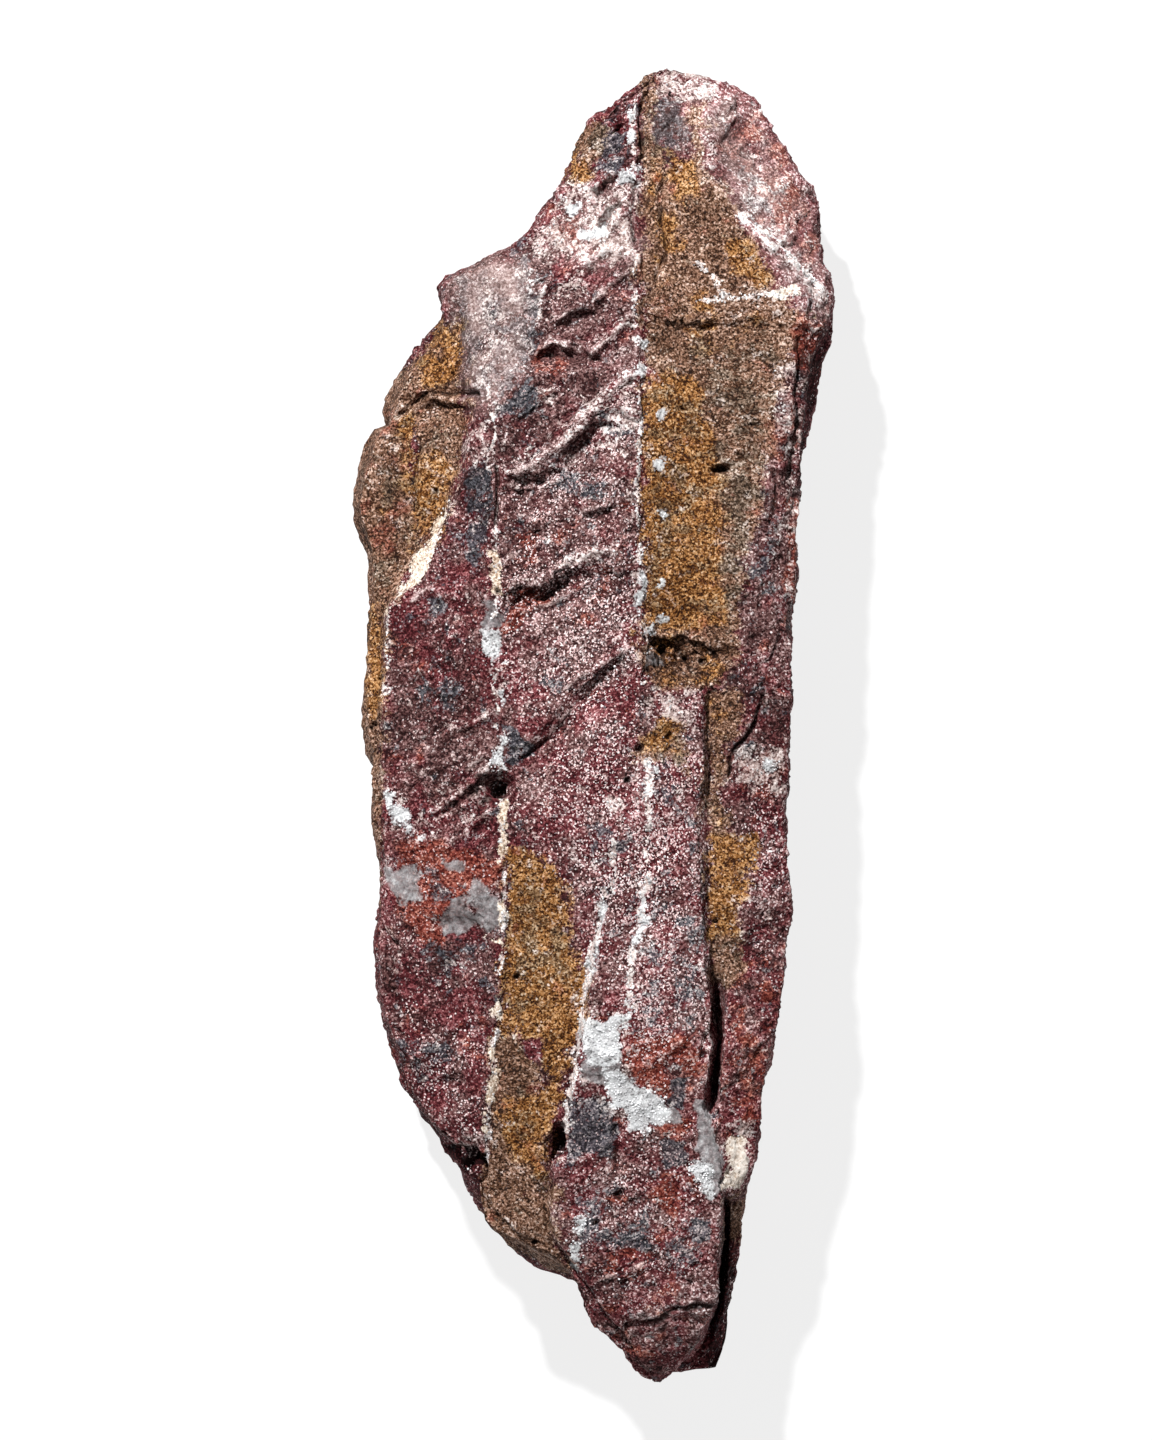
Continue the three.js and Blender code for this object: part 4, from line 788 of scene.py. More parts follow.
def lips(x, y):
    """How far each point is on a lip's crest line and lit side, both painted paler, and on its fall,
    painted darker.
    """
    rim = np.full(len(x), -1.0)
    lit = np.zeros(len(x))
    painted_lip_shade = np.zeros(len(x))
    for size, width, line in CRESTS:
        side, share = beside_line(x, y, line)
        fade = min(1, 1.3 * size) * smoothstep(0, 0.1, share) * smoothstep(0, 0.1, 1 - share)
        rim = np.maximum(rim, CREST_HIGHLIGHT_HALF_WIDTH * fade - np.abs(side - 0.1))
        lit = np.maximum(lit, fade * smoothstep(width, 0.4 * width, side) * smoothstep(-0.3, 0.1, side))
        fallen = fade * smoothstep(-1.4 * FALL, -0.8 * FALL, side)
        painted_lip_shade = np.maximum(painted_lip_shade, fallen * smoothstep(0, -0.3, side))
    return rim, lit, painted_lip_shade


print("a lip drops off over", FALL, "mm and has a foot", FOOT, "mm wide")

# %% The relief's height at every point
LUMPS = 0.22
LARGE_FACETS = 0.8
SMALL_FACETS = 0.4
CRUMBS = 1.2
STEP_HEIGHT = 1.15
CREST_HEIGHT = 0.75
CRACK_DEPTH = 0.9
PIT_DEPTH = 1.3


def relief(points, normals):
    """Height in millimetres. The numbers after a noise's points are its spacing and its shift."""
    x, y = warped(points)
    front = smoothstep(0.15, 0.6, normals[:, 2]) * near_face(points)
    crust = smoothstep(-0.5, 0.5, np.maximum(inside_any(x, y, OCHRE), inside_any(x, y, BROWN)))
    rugged = amount(x, y, RUGGED, 0.25) + 0.15 * noise(points, 9, 31)
    height = (LUMPS - 0.08 * crust) * rough(points, 5, 41)
    height += LARGE_FACETS * rugged * (1 - 0.85 * crust) * facets(slanted(points), 2.8, 29)
    height += SMALL_FACETS * (0.4 + rugged) * (1 - 0.7 * crust) * facets(points, 1.2, 37)
    height += (0.06 + 0.1 * crust) * noise(points, 0.7, 47) + 0.07 * crust * rough(points, 2, 59)
    height += CRUMBS * amount(x, y, CRUMBLY, 0) * near_face(points) * facets(points, 1.1, 149)
    stepped = amount(x, y, STEPPED, 0.1) * np.clip(0.5 + noise(points, 4, 157), 0, 1)
    height += STEP_HEIGHT * stepped * (1 - crust) * steps(points, 2.7, 163)
    pores = smoothstep(0.4, 0.75, noise(points, 1.1, 53))
    height -= (0.06 + 0.17 * crust) * pores
    for size, width, line in CRESTS:
        height += CREST_HEIGHT * size * front * lip(x, y, line, width)
    for width, line in CRACKS:
        height -= CRACK_DEPTH * front * smoothstep(width + 0.35, width * 0.3, from_line(x, y, line))
    for depth, soft, outline in HOLLOWS:
        hollow = smoothstep(-soft, soft, inside(x, y, outline))
        height -= depth * hollow * smoothstep(6, 12, points[:, 2])
    for radius, place in PITS:
        away = np.hypot(x - place[0], y - place[1])
        height -= PIT_DEPTH * front * smoothstep(radius, 0.4 * radius, away)
    return height


print("a full crest is", CREST_HEIGHT, "mm high and a crack", CRACK_DEPTH, "mm deep")

# %% Move the points out and in
WARP = 0.35

normals = unit(per_point(triangles, face_normals(points, triangles), len(points)))
resting = smoothstep(0.05, 1.5, points[:, 2])[:, None]
warp = np.stack([noise(points, 3.4, 61), noise(points, 3.4, 67), np.zeros(len(points))], axis=1)
height = relief(points, normals)
print("relief from", round(height.min(), 2), "to", round(height.max(), 2), "mm")
points = points + resting * (WARP * warp + height[:, None] * normals)
points[:, 2] = np.maximum(points[:, 2], 0)

# %% [markdown]
# ## Thin the mesh out where it is flat
#
# The split mesh has over 600,000 triangles, most of them where nothing happens. The Decimate
# modifier joins points where the surface is nearly flat and leaves crests and pits alone, so under a
# third of the triangles keep nearly all the shape.

# %% Make the stone's mesh and thin it
TRIANGLES = 190000


def as_mesh(name, points, triangles):
    mesh = bpy.data.meshes.new(name)
    mesh.vertices.add(len(points))
    mesh.vertices.foreach_set("co", (points * MM).reshape(-1))
    mesh.loops.add(3 * len(triangles))
    mesh.loops.foreach_set("vertex_index", triangles.reshape(-1).astype(np.int32))
    mesh.polygons.add(len(triangles))
    mesh.polygons.foreach_set("loop_start", np.arange(0, 3 * len(triangles), 3, dtype=np.int32))
    mesh.update(calc_edges=True)
    mesh.validate()
    return mesh


def evaluated_mesh(thing):
    """The mesh that an object's modifiers make, as a mesh of its own."""
    graph = bpy.context.evaluated_depsgraph_get()
    return bpy.data.meshes.new_from_object(thing.evaluated_get(graph))


stone = bpy.data.objects.new("stone", as_mesh("stone_split", points, triangles))
bpy.context.scene.collection.objects.link(stone)
if len(triangles) > TRIANGLES:
    thinning = stone.modifiers.new("thinning", "DECIMATE")
    thinning.ratio = TRIANGLES / len(triangles)
    thin = evaluated_mesh(stone)
    stone.modifiers.clear()
    stone.data = thin
stone.data.name = "stone"
print(len(stone.data.polygons), "triangles kept")

# %% [markdown]
# ## Values for the material
#
# Colours with crisp, ragged edges need no fine mesh. Each point of the mesh carries a value for each
# kind of colour, above zero where that colour is. The value changes slowly, so it survives on coarse
# triangles, and the material cuts it at zero after adding the finest noise. Film, tone, glint and
# crest are amounts instead, and the material uses them as they are. Tone and crest also carry
# painted light: painted shade in clefts, hollows, creases, under the lips and on the sides, and
# painted highlight on crests and on the lips' lit sides.
#
# Patches fade out with depth, because they are stains and pockets in the broken face. The brown
# bands are layers and go right through the stone.

# %% Measure every place at the points of the thinned mesh
DOT_RADIUS = 0.3
PIT_SHARE = 0.8

points, triangles = as_arrays(stone.data)
x, y = warped(points)
below = 1 - near_face(points)
seam = np.max([width - from_line(x, y, line) for line, width in WIDTHS], axis=0)
dots = np.max([DOT_RADIUS - np.hypot(x - dot[0], y - dot[1]) for dot in DOTS], axis=0)
crack = np.max([width - from_line(x, y, line) for width, line in CRACKS], axis=0)
pit = [radius * PIT_SHARE - np.hypot(x - place[0], y - place[1]) for radius, place in PITS]
pit = np.max(pit, axis=0)
# Light and shade painted on the lips: a highlight along each crest line and on the lit side, shade on the
# fall
rim, lit, painted_lip_shade = lips(x, y)
lit *= near_face(points)
painted_lip_shade *= near_face(points)
print("of the points", round(100 * (seam > 0).mean(), 1), "% are on a seam")

# %% How sharply each point stands out
def standing_out(points, triangles, rounds):
    """How far each point lies outside the smoothed surface, in millimetres: crests above 0, pits below."""
    normals = unit(per_point(triangles, face_normals(points, triangles), len(points)))
    faces = np.bincount(triangles.reshape(-1), minlength=len(points))[:, None]
    smooth = points
    for _ in range(rounds):
        smooth = per_point(triangles, smooth[triangles].mean(axis=1), len(points)) / faces
    return ((points - smooth) * normals).sum(axis=1)


# With this, the material paints points that stand out paler and points in creases and pits darker: painted
# highlight and painted shade.
crest = standing_out(points, triangles, 4)
print("crests stand", round(np.percentile(crest, 98), 2), "mm out")

# %% The crust, and the tone with its painted shade, which take several kinds of place each
OCHRE_TOP = 1.4
BROWN_TOP = 2
BARE_PULL = 2.6

ochre = np.minimum(inside_any(x, y, OCHRE), OCHRE_TOP)
ochre = np.maximum(ochre, amount(x, y, FAINT_OCHRE, -3))
brown = np.minimum(inside_any(x, y, BROWN + OCHRE), BROWN_TOP)
bare = BARE_PULL * smoothstep(-0.3, 0.7, inside_any(x, y, BARE))
coarse = rough(points, 2.6, 83)
tone = sum(share * smoothstep(-soft, soft, inside(x, y, outline)) for share, soft, outline in TONES_AND_PAINTED_SHADE)
tone = tone + 0.1 * rough(points, 7, 113) + 0.1 * rough(points, 2.2, 127)
print("of the points", round(100 * (brown > 0).mean(), 1), "% are on crust")

# %% Write the values onto the mesh
OFF_FACE = 6


def ragged(value, push, spacing, shift):
    """A value pushed up and down by noise, so that the edge where it passes 0 is ragged."""
    return value + push * rough(points, spacing, shift)


def write_value(mesh, name, values):
    attribute = mesh.attributes.new(name, "FLOAT", "POINT")
    attribute.data.foreach_set("value", values.astype(np.float32))


stone_values = {
    "seam": ragged(seam - 0.16, 0.42, 1.3, 71) - 0.8 * below,
    "quartz": ragged(np.maximum(inside_any(x, y, QUARTZ) - 0.16, dots), 0.66, 1.5, 73) - OFF_FACE * below,
    "clear": ragged(inside_any(x, y, CLEAR), 0.6, 1.6, 79) - OFF_FACE * below,
    "cream": ragged(inside_any(x, y, CREAM) - 0.12, 0.6, 1.2, 97) - OFF_FACE * below,
    "ochre": ochre + 1.5 * coarse,
    "brown": brown + 1.2 * coarse - bare,
    # More white on the lips' lit side is a painted highlight.
    "white": ragged(amount(x, y, WHITES, -1.0) + 0.2 * lit, 0.7, 1.5, 101) - 0.4 * below,
    "grey": ragged((1 - below) * amount(x, y, GREYS, 0) - 0.6, 0.66, 1.7, 103),
    "rust": ragged((1 - below) * amount(x, y, RUSTS, 0) - 0.66, 0.65, 2.2, 107),
    # a pale line along each crest, a painted highlight
    "rim": ragged(rim - 0.2, 0.5, 1.4, 151) - 2 * below,
    # painted shade in the cracks and pits
    "crack": ragged(np.maximum(crack, pit), 0.24, 1.2, 109) - 0.06 - OFF_FACE * below,
    "hue": ragged(amount(x, y, DULLS, -0.05), 0.5, 2.4, 131) - 0.3 * below,
    "film": amount(x, y, FILMS, 0) * (1 + 0.7 * rough(points, 2.8, 139)) * (1 - below),
    # Tone also carries painted light: paler on the lips' lit side, darker on their fall and on the sides
    # below the face.
    "tone": tone + 0.1 * lit - 0.04 * painted_lip_shade - 0.08 * below,
    "glint": amount(x, y, GLINTS, 0.09) * (0.9 + 0.45 * rough(points, 2.4, 137)),
    # painted highlight on crests and painted shade in creases and pits
    "crest": crest,
}
for name, values in stone_values.items():
    write_value(stone.data, name, values)
print("values:", ", ".join(stone_values))

# %% [markdown]
# ## Writing materials as sums
#
# A finish like this is mostly arithmetic on noise. One small class wraps an output of a node, so
# that `1 - mask` or `a * b` adds the Math node that works it out. Colours are mixed with Mix nodes,
# because a Math node would turn them grey. One method adds any other node.

# %% A wire carries a value between nodes
class Wire:
    """One output in a node tree."""

    def __init__(self, nodes, socket):
        self.nodes = nodes
        self.socket = socket

    def maths(self, operation, *others):
        inputs = dict(enumerate([self, *others]))
        return self.nodes.add("ShaderNodeMath", {"operation": operation}, inputs)

    def __add__(self, other):
        return self.maths("ADD", other)

    __radd__ = __add__

    def __mul__(self, other):
        return self.maths("MULTIPLY", other)

    __rmul__ = __mul__

    def __sub__(self, other):
        return self.maths("SUBTRACT", other)

    def __rsub__(self, other):
        return self * -1 + other

    def output(self, name):
        """Another output of the same node."""
        return Wire(self.nodes, self.socket.node.outputs[name])

    def cut(self, low, high):
        """0 below low, 1 above high, and smooth between."""
        return self.nodes.add(
            "ShaderNodeMapRange", {"interpolation_type": "SMOOTHSTEP"},
            {"Value": self, "From Min": low, "From Max": high},
        )


# %% Add nodes to a tree by their type, settings and inputs
class Nodes:
    """The nodes of one tree."""

    def __init__(self, tree):
        self.tree = tree
        tree.nodes.clear()

    def add(self, kind, settings, inputs, output=0):
        node = self.tree.nodes.new(kind)
        for name, value in settings.items():
            if name == "stops":
                self.set_stops(node.color_ramp, value)
            else:
                setattr(node, name, value)
        for name, value in inputs.items():
            if isinstance(value, Wire):
                self.tree.links.new(value.socket, node.inputs[name])
            else:
                node.inputs[name].default_value = value
        return Wire(self, node.outputs[output])

    def set_stops(self, ramp, stops):
        while len(ramp.elements) < len(stops):
            ramp.elements.new(0.5)
        for element, (position, colour) in zip(ramp.elements, stops):
            element.position = position
            element.color = colour

    def mix(self, share, first, second):
        settings = {"data_type": "RGBA", "clamp_factor": True}
        return self.add("ShaderNodeMix", settings, {0: share, 6: first, 7: second}, output=2)

    def end(self, wire, kind="ShaderNodeOutputMaterial", name="Surface"):
        """The tree's last node, which has inputs only."""
        last = self.tree.nodes.new(kind)
        self.tree.links.new(wire.socket, last.inputs[name])


def seen(red, green, blue):
    """A colour as a screen shows it, from 0 to 255, as the linear light that a shader works in."""
    def linear(value):
        value = value / 255
        return value / 12.92 if value <= 0.04045 else ((value + 0.055) / 1.055) ** 2.4
    return linear(red), linear(green), linear(blue), 1.0


print("a mid maroon is", [round(c, 3) for c in seen(112, 72, 70)])

# %% [markdown]
# ## The finish of the stone
#
# Under a lens, jasper's broken face is packed grains about a quarter of a millimetre across. Each
# grain has its own shade, from nearly black through maroon to pinkish white, and its own tilt, so
# some catch the light. Voronoi cells are such grains: their colour output is random numbers for each
# cell. Cells of one size give the grains their shade and tint. Finer ones over them add specks and
# choose the ones that glint, and coarser ones help to break up the edges of patches. The glints are
# painted highlights: those grains get a pale colour, and a lower roughness as well.
#
# The same grains carry every other colour of the stone. Only the ramp from shade to colour changes,
# so the whole face keeps one texture, as the real one does. Each colour is mixed over the ones before
# it, from the jasper to the crust and the quartz, and last comes painted shade in the cracks and pits.

# %% Shades of the grains
WINE = [(0.0, seen(34, 6, 9)), (0.22, seen(66, 21, 25)), (0.45, seen(100, 45, 49)),
        (0.66, seen(140, 84, 86)), (0.85, seen(198, 154, 156)), (1.0, seen(248, 230, 230))]
DUSKY = [(0.0, seen(28, 12, 12)), (0.22, seen(60, 33, 33)), (0.45, seen(96, 66, 64)),
         (0.66, seen(138, 108, 106)), (0.85, seen(196, 170, 168)), (1.0, seen(246, 234, 232))]
OCHRE_SHADES = [(0.0, seen(38, 18, 4)), (0.25, seen(90, 52, 20)), (0.5, seen(146, 99, 52)),
                (0.75, seen(188, 145, 96)), (1.0, seen(216, 182, 142))]
BROWN_SHADES = [(0.0, seen(32, 19, 11)), (0.25, seen(76, 50, 34)), (0.5, seen(122, 90, 71)),
                (0.75, seen(170, 138, 118)), (1.0, seen(214, 190, 176))]
GREY_SHADES = [(0.0, seen(16, 21, 24)), (0.3, seen(43, 53, 60)), (0.6, seen(83, 97, 104)),
               (0.85, seen(164, 164, 164)), (1.0, seen(236, 234, 234))]
QUARTZ_SHADES = [(0.0, seen(80, 74, 74)), (0.3, seen(142, 140, 141)), (0.6, seen(194, 196, 197)),
                 (1.0, seen(252, 253, 254))]
PALE_SHADES = [(0.0, seen(112, 86, 82)), (0.3, seen(162, 138, 132)), (0.6, seen(206, 190, 184)),
               (1.0, seen(254, 248, 245))]
CREAM_SHADES = [(0.0, seen(92, 66, 44)), (0.3, seen(156, 128, 104)), (0.6, seen(212, 192, 172)),
                (1.0, seen(252, 244, 232))]
RUST_SHADES = [(0.0, seen(40, 8, 5)), (0.3, seen(92, 34, 26)), (0.6, seen(142, 70, 54)),
               (0.85, seen(192, 124, 102)), (1.0, seen(240, 208, 192))]
FILM_SHADES = [(0.0, seen(94, 72, 68)), (0.4, seen(148, 123, 118)), (0.7, seen(189, 168, 164)),
               (1.0, seen(236, 224, 221))]
MOSS_SHADES = [(0.0, seen(20, 18, 13)), (0.3, seen(52, 49, 38)), (0.6, seen(98, 95, 82)),
               (0.85, seen(166, 162, 150)), (1.0, seen(236, 234, 228))]
# Near-black brown painted into the cracks and pits as shade
PAINTED_CRACK_SHADE = seen(26, 15, 11)
# Colours of the painted glints
GLINT_PALE = seen(250, 240, 240)
GLINT_PINK = seen(196, 150, 148)
print("jasper goes through", len(WINE), "shades and ochre crust through", len(OCHRE_SHADES))

# %% What all the colours share, with sizes in millimetres
GRAIN = 0.27
SPARKLE = 0.21
CLUMP = 0.7


class StoneNodes(Nodes):
    """The nodes of the stone's finish, with the numbers that all its colours share."""

    def __init__(self, tree):
        super().__init__(tree)
        place = self.add("ShaderNodeTexCoord", {}, {}, output="Object")
        self.place = self.add("ShaderNodeVectorMath", {"operation": "SCALE"}, {0: place, "Scale": 1 / MM})
        grains = self.cells(GRAIN)
        specks = self.cells(SPARKLE)
        self.grain = grains.output("Red") - 0.5
        self.tint = grains.output("Blue") - 0.5
        self.speck = specks.output("Red") - 0.5
        self.chance = specks.output("Green")
        self.clump = self.cells(CLUMP) - 0.5
        settings = {"Vector": self.place, "Scale": 1.1, "Detail": 4.0, "Roughness": 0.7}
        self.fine = self.add("ShaderNodeTexNoise", {}, settings, output="Fac") - 0.5
        self.edge = self.fine * 1.6 + self.grain * 0.5 + self.clump * 0.3
        # Tone carries painted highlight and shade besides the stone's own tone, and crest paints crests
        # paler and creases darker.
        self.broad = 0.33 + self.value("tone") + self.fine * 0.2 + self.value("crest") * 0.45
        self.shade = self.broad + self.grain * 0.56 + self.speck * 0.42 + self.clump * 0.04

    def cells(self, size):
        """Random numbers for each cell of a size, the first of them as the output."""
        settings = {"Vector": self.place, "Scale": 1 / size}
        colour = self.add("ShaderNodeTexVoronoi", {}, settings, output="Color")
        return self.add("ShaderNodeSeparateColor", {}, {"Color": colour})

    def value(self, name):
        return self.add("ShaderNodeAttribute", {"attribute_name": name}, {}, output="Fac")

    def patch(self, name, size=1.0, soft=0.12):
        """Where a value is above 0, with an edge that noise and grains break up."""
        return (self.value(name) + self.edge * size).cut(-soft, soft)

    def shades(self, stops, amount):
        return self.add("ShaderNodeValToRGB", {"stops": stops}, {"Fac": amount}, output="Color")

    def over(self, colour, share, stops, amount):
        """A colour with shades of another over a share of it."""
        return self.mix(share, colour, self.shades(stops, amount))


print("a grain is", GRAIN, "mm across, a speck", SPARKLE, "mm and a clump", CLUMP, "mm")

# %% Jasper, with duller, rusty and grey grains, painted glints, dusty films and a painted highlight along the lips' crests
def jasper_colour(nodes, rust, grey, glint):
    shade = nodes.shade
    dull = (nodes.value("hue") + nodes.tint * 0.1).cut(-0.35, 0.35)
    colour = nodes.over(nodes.shades(WINE, shade), dull, DUSKY, shade)
    colour = nodes.over(colour, rust * 0.8, RUST_SHADES, shade + 0.02)
    colour = nodes.over(colour, grey * 0.72, GREY_SHADES, shade + 0.02)
    # Glints are painted highlights: grains picked by the glint mask get a pale colour. They also get a
    # lower roughness.
    glint_colour = nodes.mix(nodes.tint + 0.5, GLINT_PALE, GLINT_PINK)
    colour = nodes.mix(glint * 0.9, colour, glint_colour)
    film = nodes.broad * 0.8 + nodes.grain * 0.46 + nodes.speck * 0.36 + 0.12
    colour = nodes.over(colour, nodes.value("film"), FILM_SHADES, film)
    # The pale line along each crest is a painted highlight.
    return nodes.over(colour, nodes.patch("rim", 0.6, 0.2) * 0.45, FILM_SHADES, shade + 0.2)


# %% The crust, brown and ochre, with rust and grey showing through it in places
def crust_colour(nodes, rust, grey):
    coarse = nodes.broad * 0.82 + nodes.grain * 0.68 + nodes.speck * 0.6 + nodes.clump * 0.04 + 0.06
    crust = nodes.shades(BROWN_SHADES, coarse + 0.04)
    crust = nodes.over(crust, nodes.patch("ochre", 2.0, 0.7), OCHRE_SHADES, coarse + 0.05)
    crust = nodes.over(crust, grey * 0.45, MOSS_SHADES, nodes.shade + 0.04)
    return nodes.over(crust, rust * 0.6, RUST_SHADES, nodes.shade + 0.06)


# %% Quartz, from a haze of white grains to solid pockets, and painted shade in the cracks and pits last
def with_quartz(nodes, colour, clear, quartz):
    shade = nodes.shade
    colour = nodes.over(colour, nodes.patch("white", 1.5, 0.5) * 0.7, PALE_SHADES, shade + 0.2)
    clear_shade = nodes.broad * 0.7 + nodes.fine * 1.1 + nodes.speck * 0.1 - 0.03
    colour = nodes.over(colour, clear * 0.78, QUARTZ_SHADES, clear_shade)
    colour = nodes.over(colour, nodes.patch("seam", 0.6, 0.16) * 0.85, PALE_SHADES, shade + 0.34)
    colour = nodes.over(colour, nodes.patch("cream", 0.8, 0.2) * 0.84, CREAM_SHADES, shade + 0.3)
    white_shade = nodes.broad + nodes.fine * 0.7 + nodes.grain * 0.2 + 0.26
    colour = nodes.over(colour, quartz * 0.9, QUARTZ_SHADES, white_shade)
    # Painted shade: cracks and pits are darkened toward a near-black brown.
    return nodes.mix(nodes.patch("crack", 0.3) * 0.75, colour, PAINTED_CRACK_SHADE)


# %% Build the stone's material
BUMP_DEPTH = 0.25


def stone_material():
    material = bpy.data.materials.new("jasper")
    material.use_nodes = True
    nodes = StoneNodes(material.node_tree)
    rust = nodes.patch("rust", 0.6, 0.3)
    grey = nodes.patch("grey", 1.0, 0.16)
    clear = nodes.patch("clear", 0.6, 0.25)
    quartz = nodes.patch("quartz", 0.8, 0.3)
    glint = (nodes.chance + nodes.value("glint") - 1) * 9
    glint = glint.cut(0, 1) * (1 - grey * 0.4)

    colour = jasper_colour(nodes, rust, grey, glint)
    colour = nodes.mix(nodes.patch("brown", 2.0, 0.5) * 0.92, colour, crust_colour(nodes, rust, grey))
    colour = with_quartz(nodes, colour, clear, quartz)
    roughness = 0.82 - glint * 0.4 - quartz * 0.2 - clear * 0.3
    bump_height = nodes.grain * 0.4 + nodes.clump * 0.3 + nodes.fine * 0.9
    bump = {"Height": bump_height, "Strength": 0.8, "Distance": BUMP_DEPTH * MM}
    bumped = nodes.add("ShaderNodeBump", {}, bump)
    surface = nodes.add(
        "ShaderNodeBsdfPrincipled", {},
        {"Base Color": colour, "Roughness": roughness, "Normal": bumped, "IOR": 1.54,
         "Specular IOR Level": 0.08},
    )
    nodes.end(surface)
    print(len(nodes.tree.nodes), "nodes in the stone's finish")
    return material


stone.data.materials.append(stone_material())
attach(stone, "root")
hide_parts("red_jasper")

# %% [markdown]
# ## Quartz grains that stand out
#
# Quartz doesn't weather, so its grains stand out of a broken face where the jasper round them has
# crumbled. They are packed in the white seams and pockets, thinner in the white haze, and few where
# the jasper glints. Each is a crystal too small to show its shape, so a ball of twenty flat faces,
# turned at random, does for it.
#
# Geometry Nodes strew them. A copy of the stone's mesh carries a share at each point, from 1 in a
# pocket to nearly 0 in plain jasper, and the tree strews grains as thickly as the share says.

# %% The tree that strews grains
GRAIN_INPUTS = [
    ("Grains to a square metre", "NodeSocketFloat", 6.0e6),
    ("Smallest", "NodeSocketFloat", 0.08 * MM),
    ("Largest", "NodeSocketFloat", 0.2 * MM),
    ("Seed", "NodeSocketInt", 11),
]


def grain_tree(material):
    tree = bpy.data.node_groups.new("grains", "GeometryNodeTree")
    tree.interface.new_socket("Geometry", in_out="INPUT", socket_type="NodeSocketGeometry")
    for name, kind, _ in GRAIN_INPUTS:
        tree.interface.new_socket(name, in_out="INPUT", socket_type=kind)
    tree.interface.new_socket("Geometry", in_out="OUTPUT", socket_type="NodeSocketGeometry")

    nodes = Nodes(tree)
    add = nodes.add
    given = add("NodeGroupInput", {}, {})
    share = add("GeometryNodeInputNamedAttribute", {"data_type": "FLOAT"}, {"Name": "strewn"})
    density = share * given.output("Grains to a square metre")
    spots = add(
        "GeometryNodeDistributePointsOnFaces", {},
        {"Mesh": given, "Density": density, "Seed": given.output("Seed")},
    )
    ball = add("GeometryNodeMeshIcoSphere", {}, {"Radius": 1.0, "Subdivisions": 1})
    turn = add("FunctionNodeRandomValue", {"data_type": "FLOAT_VECTOR"}, {1: (math.tau,) * 3})
    size = add(
        "FunctionNodeRandomValue", {"data_type": "FLOAT"},
        {2: given.output("Smallest"), 3: given.output("Largest")}, output=1,
    )
    grains = add(
        "GeometryNodeInstanceOnPoints", {},
        {"Points": spots, "Instance": ball, "Rotation": turn, "Scale": size},
    )
    grains = add("GeometryNodeRealizeInstances", {}, {"Geometry": grains})
    grains = add("GeometryNodeSetMaterial", {}, {"Geometry": grains, "Material": material})
    nodes.end(grains, "NodeGroupOutput", "Geometry")
    return tree


print("the tree takes", len(GRAIN_INPUTS), "numbers beside the mesh")

# %% The finish of the grains
GRAIN_SHADES = [(0.0, seen(140, 136, 136)), (0.5, seen(196, 196, 198)), (1.0, seen(250, 250, 252))]


def grain_material():
    material = bpy.data.materials.new("quartz_grains")
    material.use_nodes = True
    nodes = Nodes(material.node_tree)
    add = nodes.add
    place = add("ShaderNodeTexCoord", {}, {}, output="Object")
    cells = add("ShaderNodeTexVoronoi", {}, {"Vector": place, "Scale": 0.7 / MM}, output="Color")
    chance = add("ShaderNodeSeparateColor", {}, {"Color": cells})
    colour = add("ShaderNodeValToRGB", {"stops": GRAIN_SHADES}, {"Fac": chance})
    surface = add(
        "ShaderNodeBsdfPrincipled", {},
        {"Base Color": colour, "Roughness": 0.35, "IOR": 1.54, "Specular IOR Level": 0.5},
    )
    nodes.end(surface)
    return material


# %% How thickly the grains lie at every point
HAZE_SHARE = 0.2
GLINT_SHARE = 0.03

up = unit(per_point(triangles, face_normals(points, triangles), len(points)))[:, 2]
strewn = HAZE_SHARE * smoothstep(0.1, 0.5, stone_values["white"])
strewn += GLINT_SHARE * smoothstep(0.1, 0.4, stone_values["glint"])
for name in ("seam", "quartz"):
    strewn = np.maximum(strewn, smoothstep(-0.1, 0.15, stone_values[name]))
strewn *= smoothstep(0.3, 0.6, up) * (1 - below) * smoothstep(0.1, -0.1, stone_values["crack"])
print("of the points", round(100 * (strewn > 0.5).mean(), 1), "% are packed with grains")

# %% Strew the grains
sown = stone.data.copy()
write_value(sown, "strewn", strewn)
grains = bpy.data.objects.new("quartz_grains", sown)
bpy.context.scene.collection.objects.link(grains)
sower = grains.modifiers.new("sower", "NODES")
sower.node_group = grain_tree(grain_material())
items = sower.node_group.interface.items_tree
sockets = {item.name: item.identifier for item in items if item.in_out == "INPUT"}
for name, _, value in GRAIN_INPUTS:
    sower[sockets[name]] = value
grain_mesh = evaluated_mesh(grains)
grains.modifiers.clear()
grains.data = grain_mesh
grain_mesh.name = "quartz_grains"
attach(grains, "root")
print(len(grain_mesh.polygons) // 20, "grains of 20 faces each")

# %% [markdown]
# ## Floor, light and camera
#
# The stone lies on its back, and the camera looks straight down at its face. A long lens from far
# away keeps the outline true. The main light is small and stands past the rounded end, a little to
# the left and halfway up, because relief only shows in a slanting light. A wide, weak light from the
# other end keeps the shadows open.

# %% Floor
FLOOR = 6.0
FLOOR_GREY = 0.16
FLOOR_GLOW = 0.82


def floor_material():
    material = bpy.data.materials.new("floor")
    material.use_nodes = True
    shader = material.node_tree.nodes["Principled BSDF"]
    shader.inputs["Base Color"].default_value = (FLOOR_GREY, FLOOR_GREY, FLOOR_GREY, 1)
    shader.inputs["Roughness"].default_value = 0.9
    shader.inputs["Emission Color"].default_value = (1, 1, 1, 1)
    shader.inputs["Emission Strength"].default_value = FLOOR_GLOW
    return material


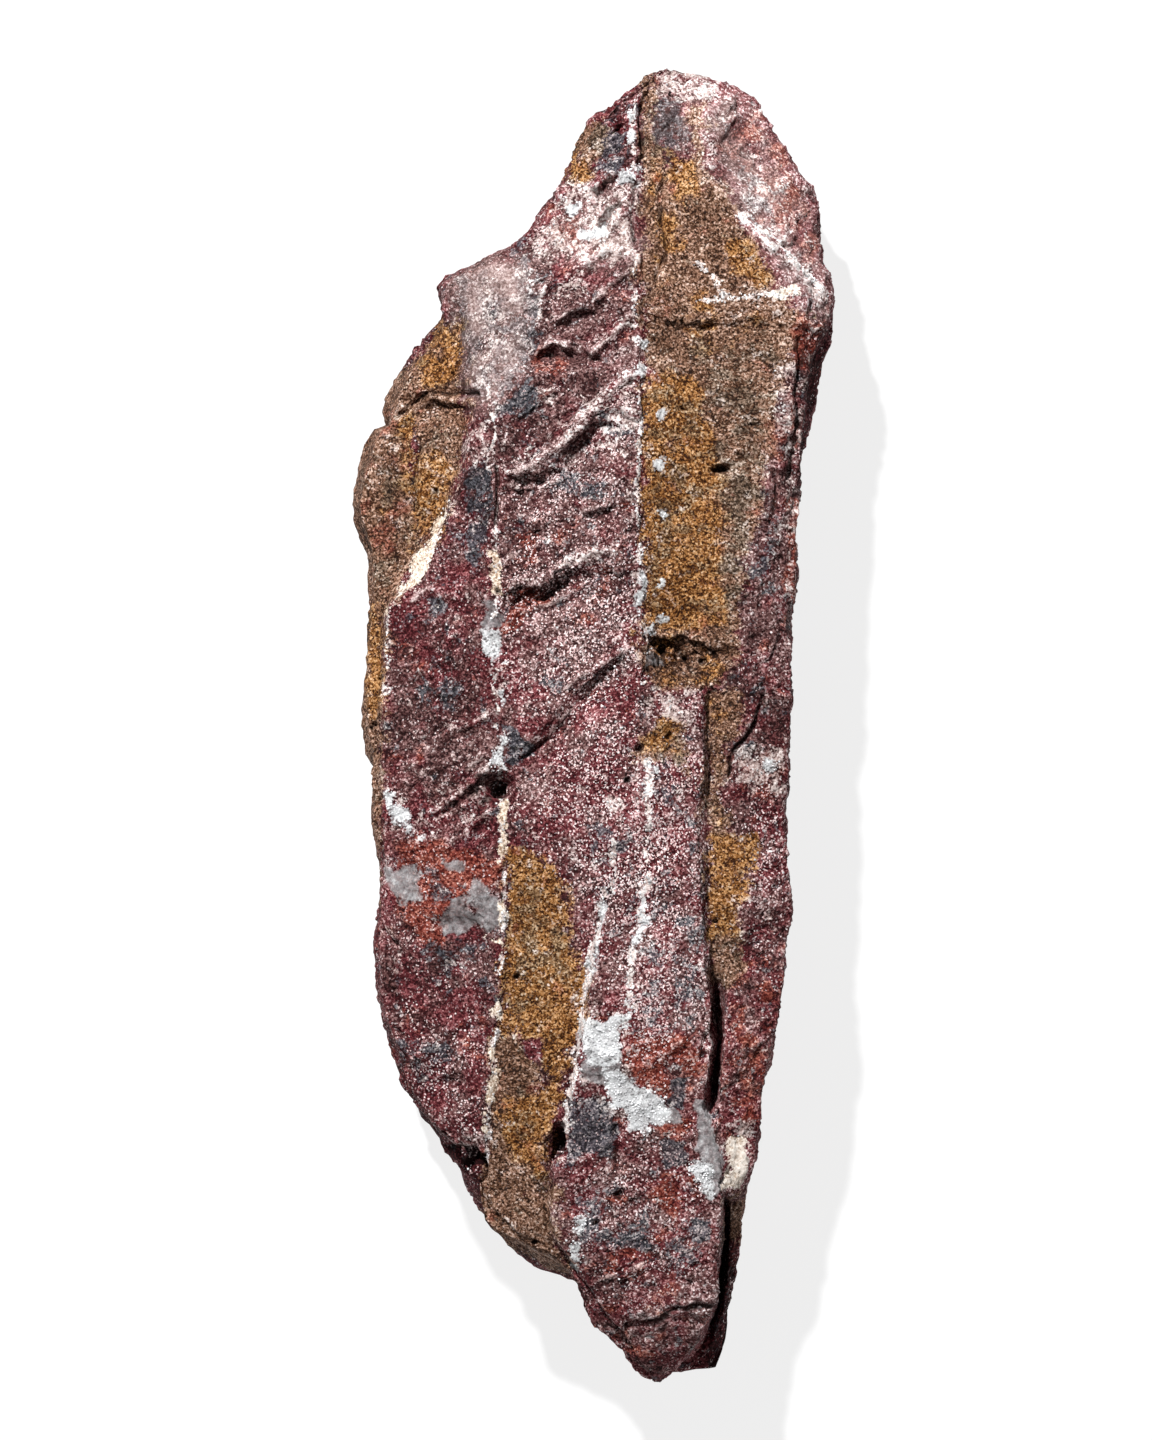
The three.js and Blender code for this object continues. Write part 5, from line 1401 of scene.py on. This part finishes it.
corners = [(-FLOOR, -FLOOR, 0), (FLOOR, -FLOOR, 0), (FLOOR, FLOOR, 0), (-FLOOR, FLOOR, 0)]
floor_mesh = bpy.data.meshes.new("floor")
floor_mesh.from_pydata(corners, [], [(0, 1, 2, 3)])
floor_mesh.materials.append(floor_material())
floor = bpy.data.objects.new("floor", floor_mesh)
bpy.context.scene.collection.objects.link(floor)
print("a floor", 2 * FLOOR, "m wide")

# %% Lights
WORLD_LIGHT = 0.16


def area_light(name, azimuth, elevation, distance, size, power):
    """A square light aimed at the stone. Azimuth 0 is along +X and 90 along +Y."""
    light = bpy.data.lights.new(name, "AREA")
    light.size = size
    light.energy = power
    holder = bpy.data.objects.new(name, light)
    a = math.radians(azimuth)
    e = math.radians(elevation)
    direction = np.array([math.cos(a) * math.cos(e), math.sin(a) * math.cos(e), math.sin(e)])
    holder.location = direction * distance
    holder.rotation_euler = (math.pi / 2 - e, 0, a + math.pi / 2)
    bpy.context.scene.collection.objects.link(holder)
    return holder


key = area_light("key", azimuth=113, elevation=50, distance=1.4, size=0.05, power=35)
fill = area_light("fill", azimuth=300, elevation=70, distance=1.6, size=1.6, power=1.3)
world = bpy.data.worlds.new("studio")
world.use_nodes = True
world.node_tree.nodes["Background"].inputs["Color"].default_value = (1, 1, 1, 1)
world.node_tree.nodes["Background"].inputs["Strength"].default_value = WORLD_LIGHT
bpy.context.scene.world = world
bpy.context.scene.view_settings.view_transform = "Standard"
print(key.name, "light", key.data.energy, "W and", fill.name, "light", round(fill.data.energy, 1), "W")

# %% Camera
VIEW_CENTRE = (-2.45, 0.77)
VIEW_HEIGHT = 201.6
FACE_LEVEL = 24
LENS = 250
SENSOR = 36

camera_data = bpy.data.cameras.new("camera")
camera_data.lens = LENS
camera_data.sensor_width = SENSOR
camera = bpy.data.objects.new("camera", camera_data)
away = VIEW_HEIGHT * LENS / SENSOR
camera.location = (VIEW_CENTRE[0] * MM, VIEW_CENTRE[1] * MM, (away + FACE_LEVEL) * MM)
bpy.context.scene.collection.objects.link(camera)
bpy.context.scene.camera = camera
print("camera", round(away * MM, 2), "m above the face")
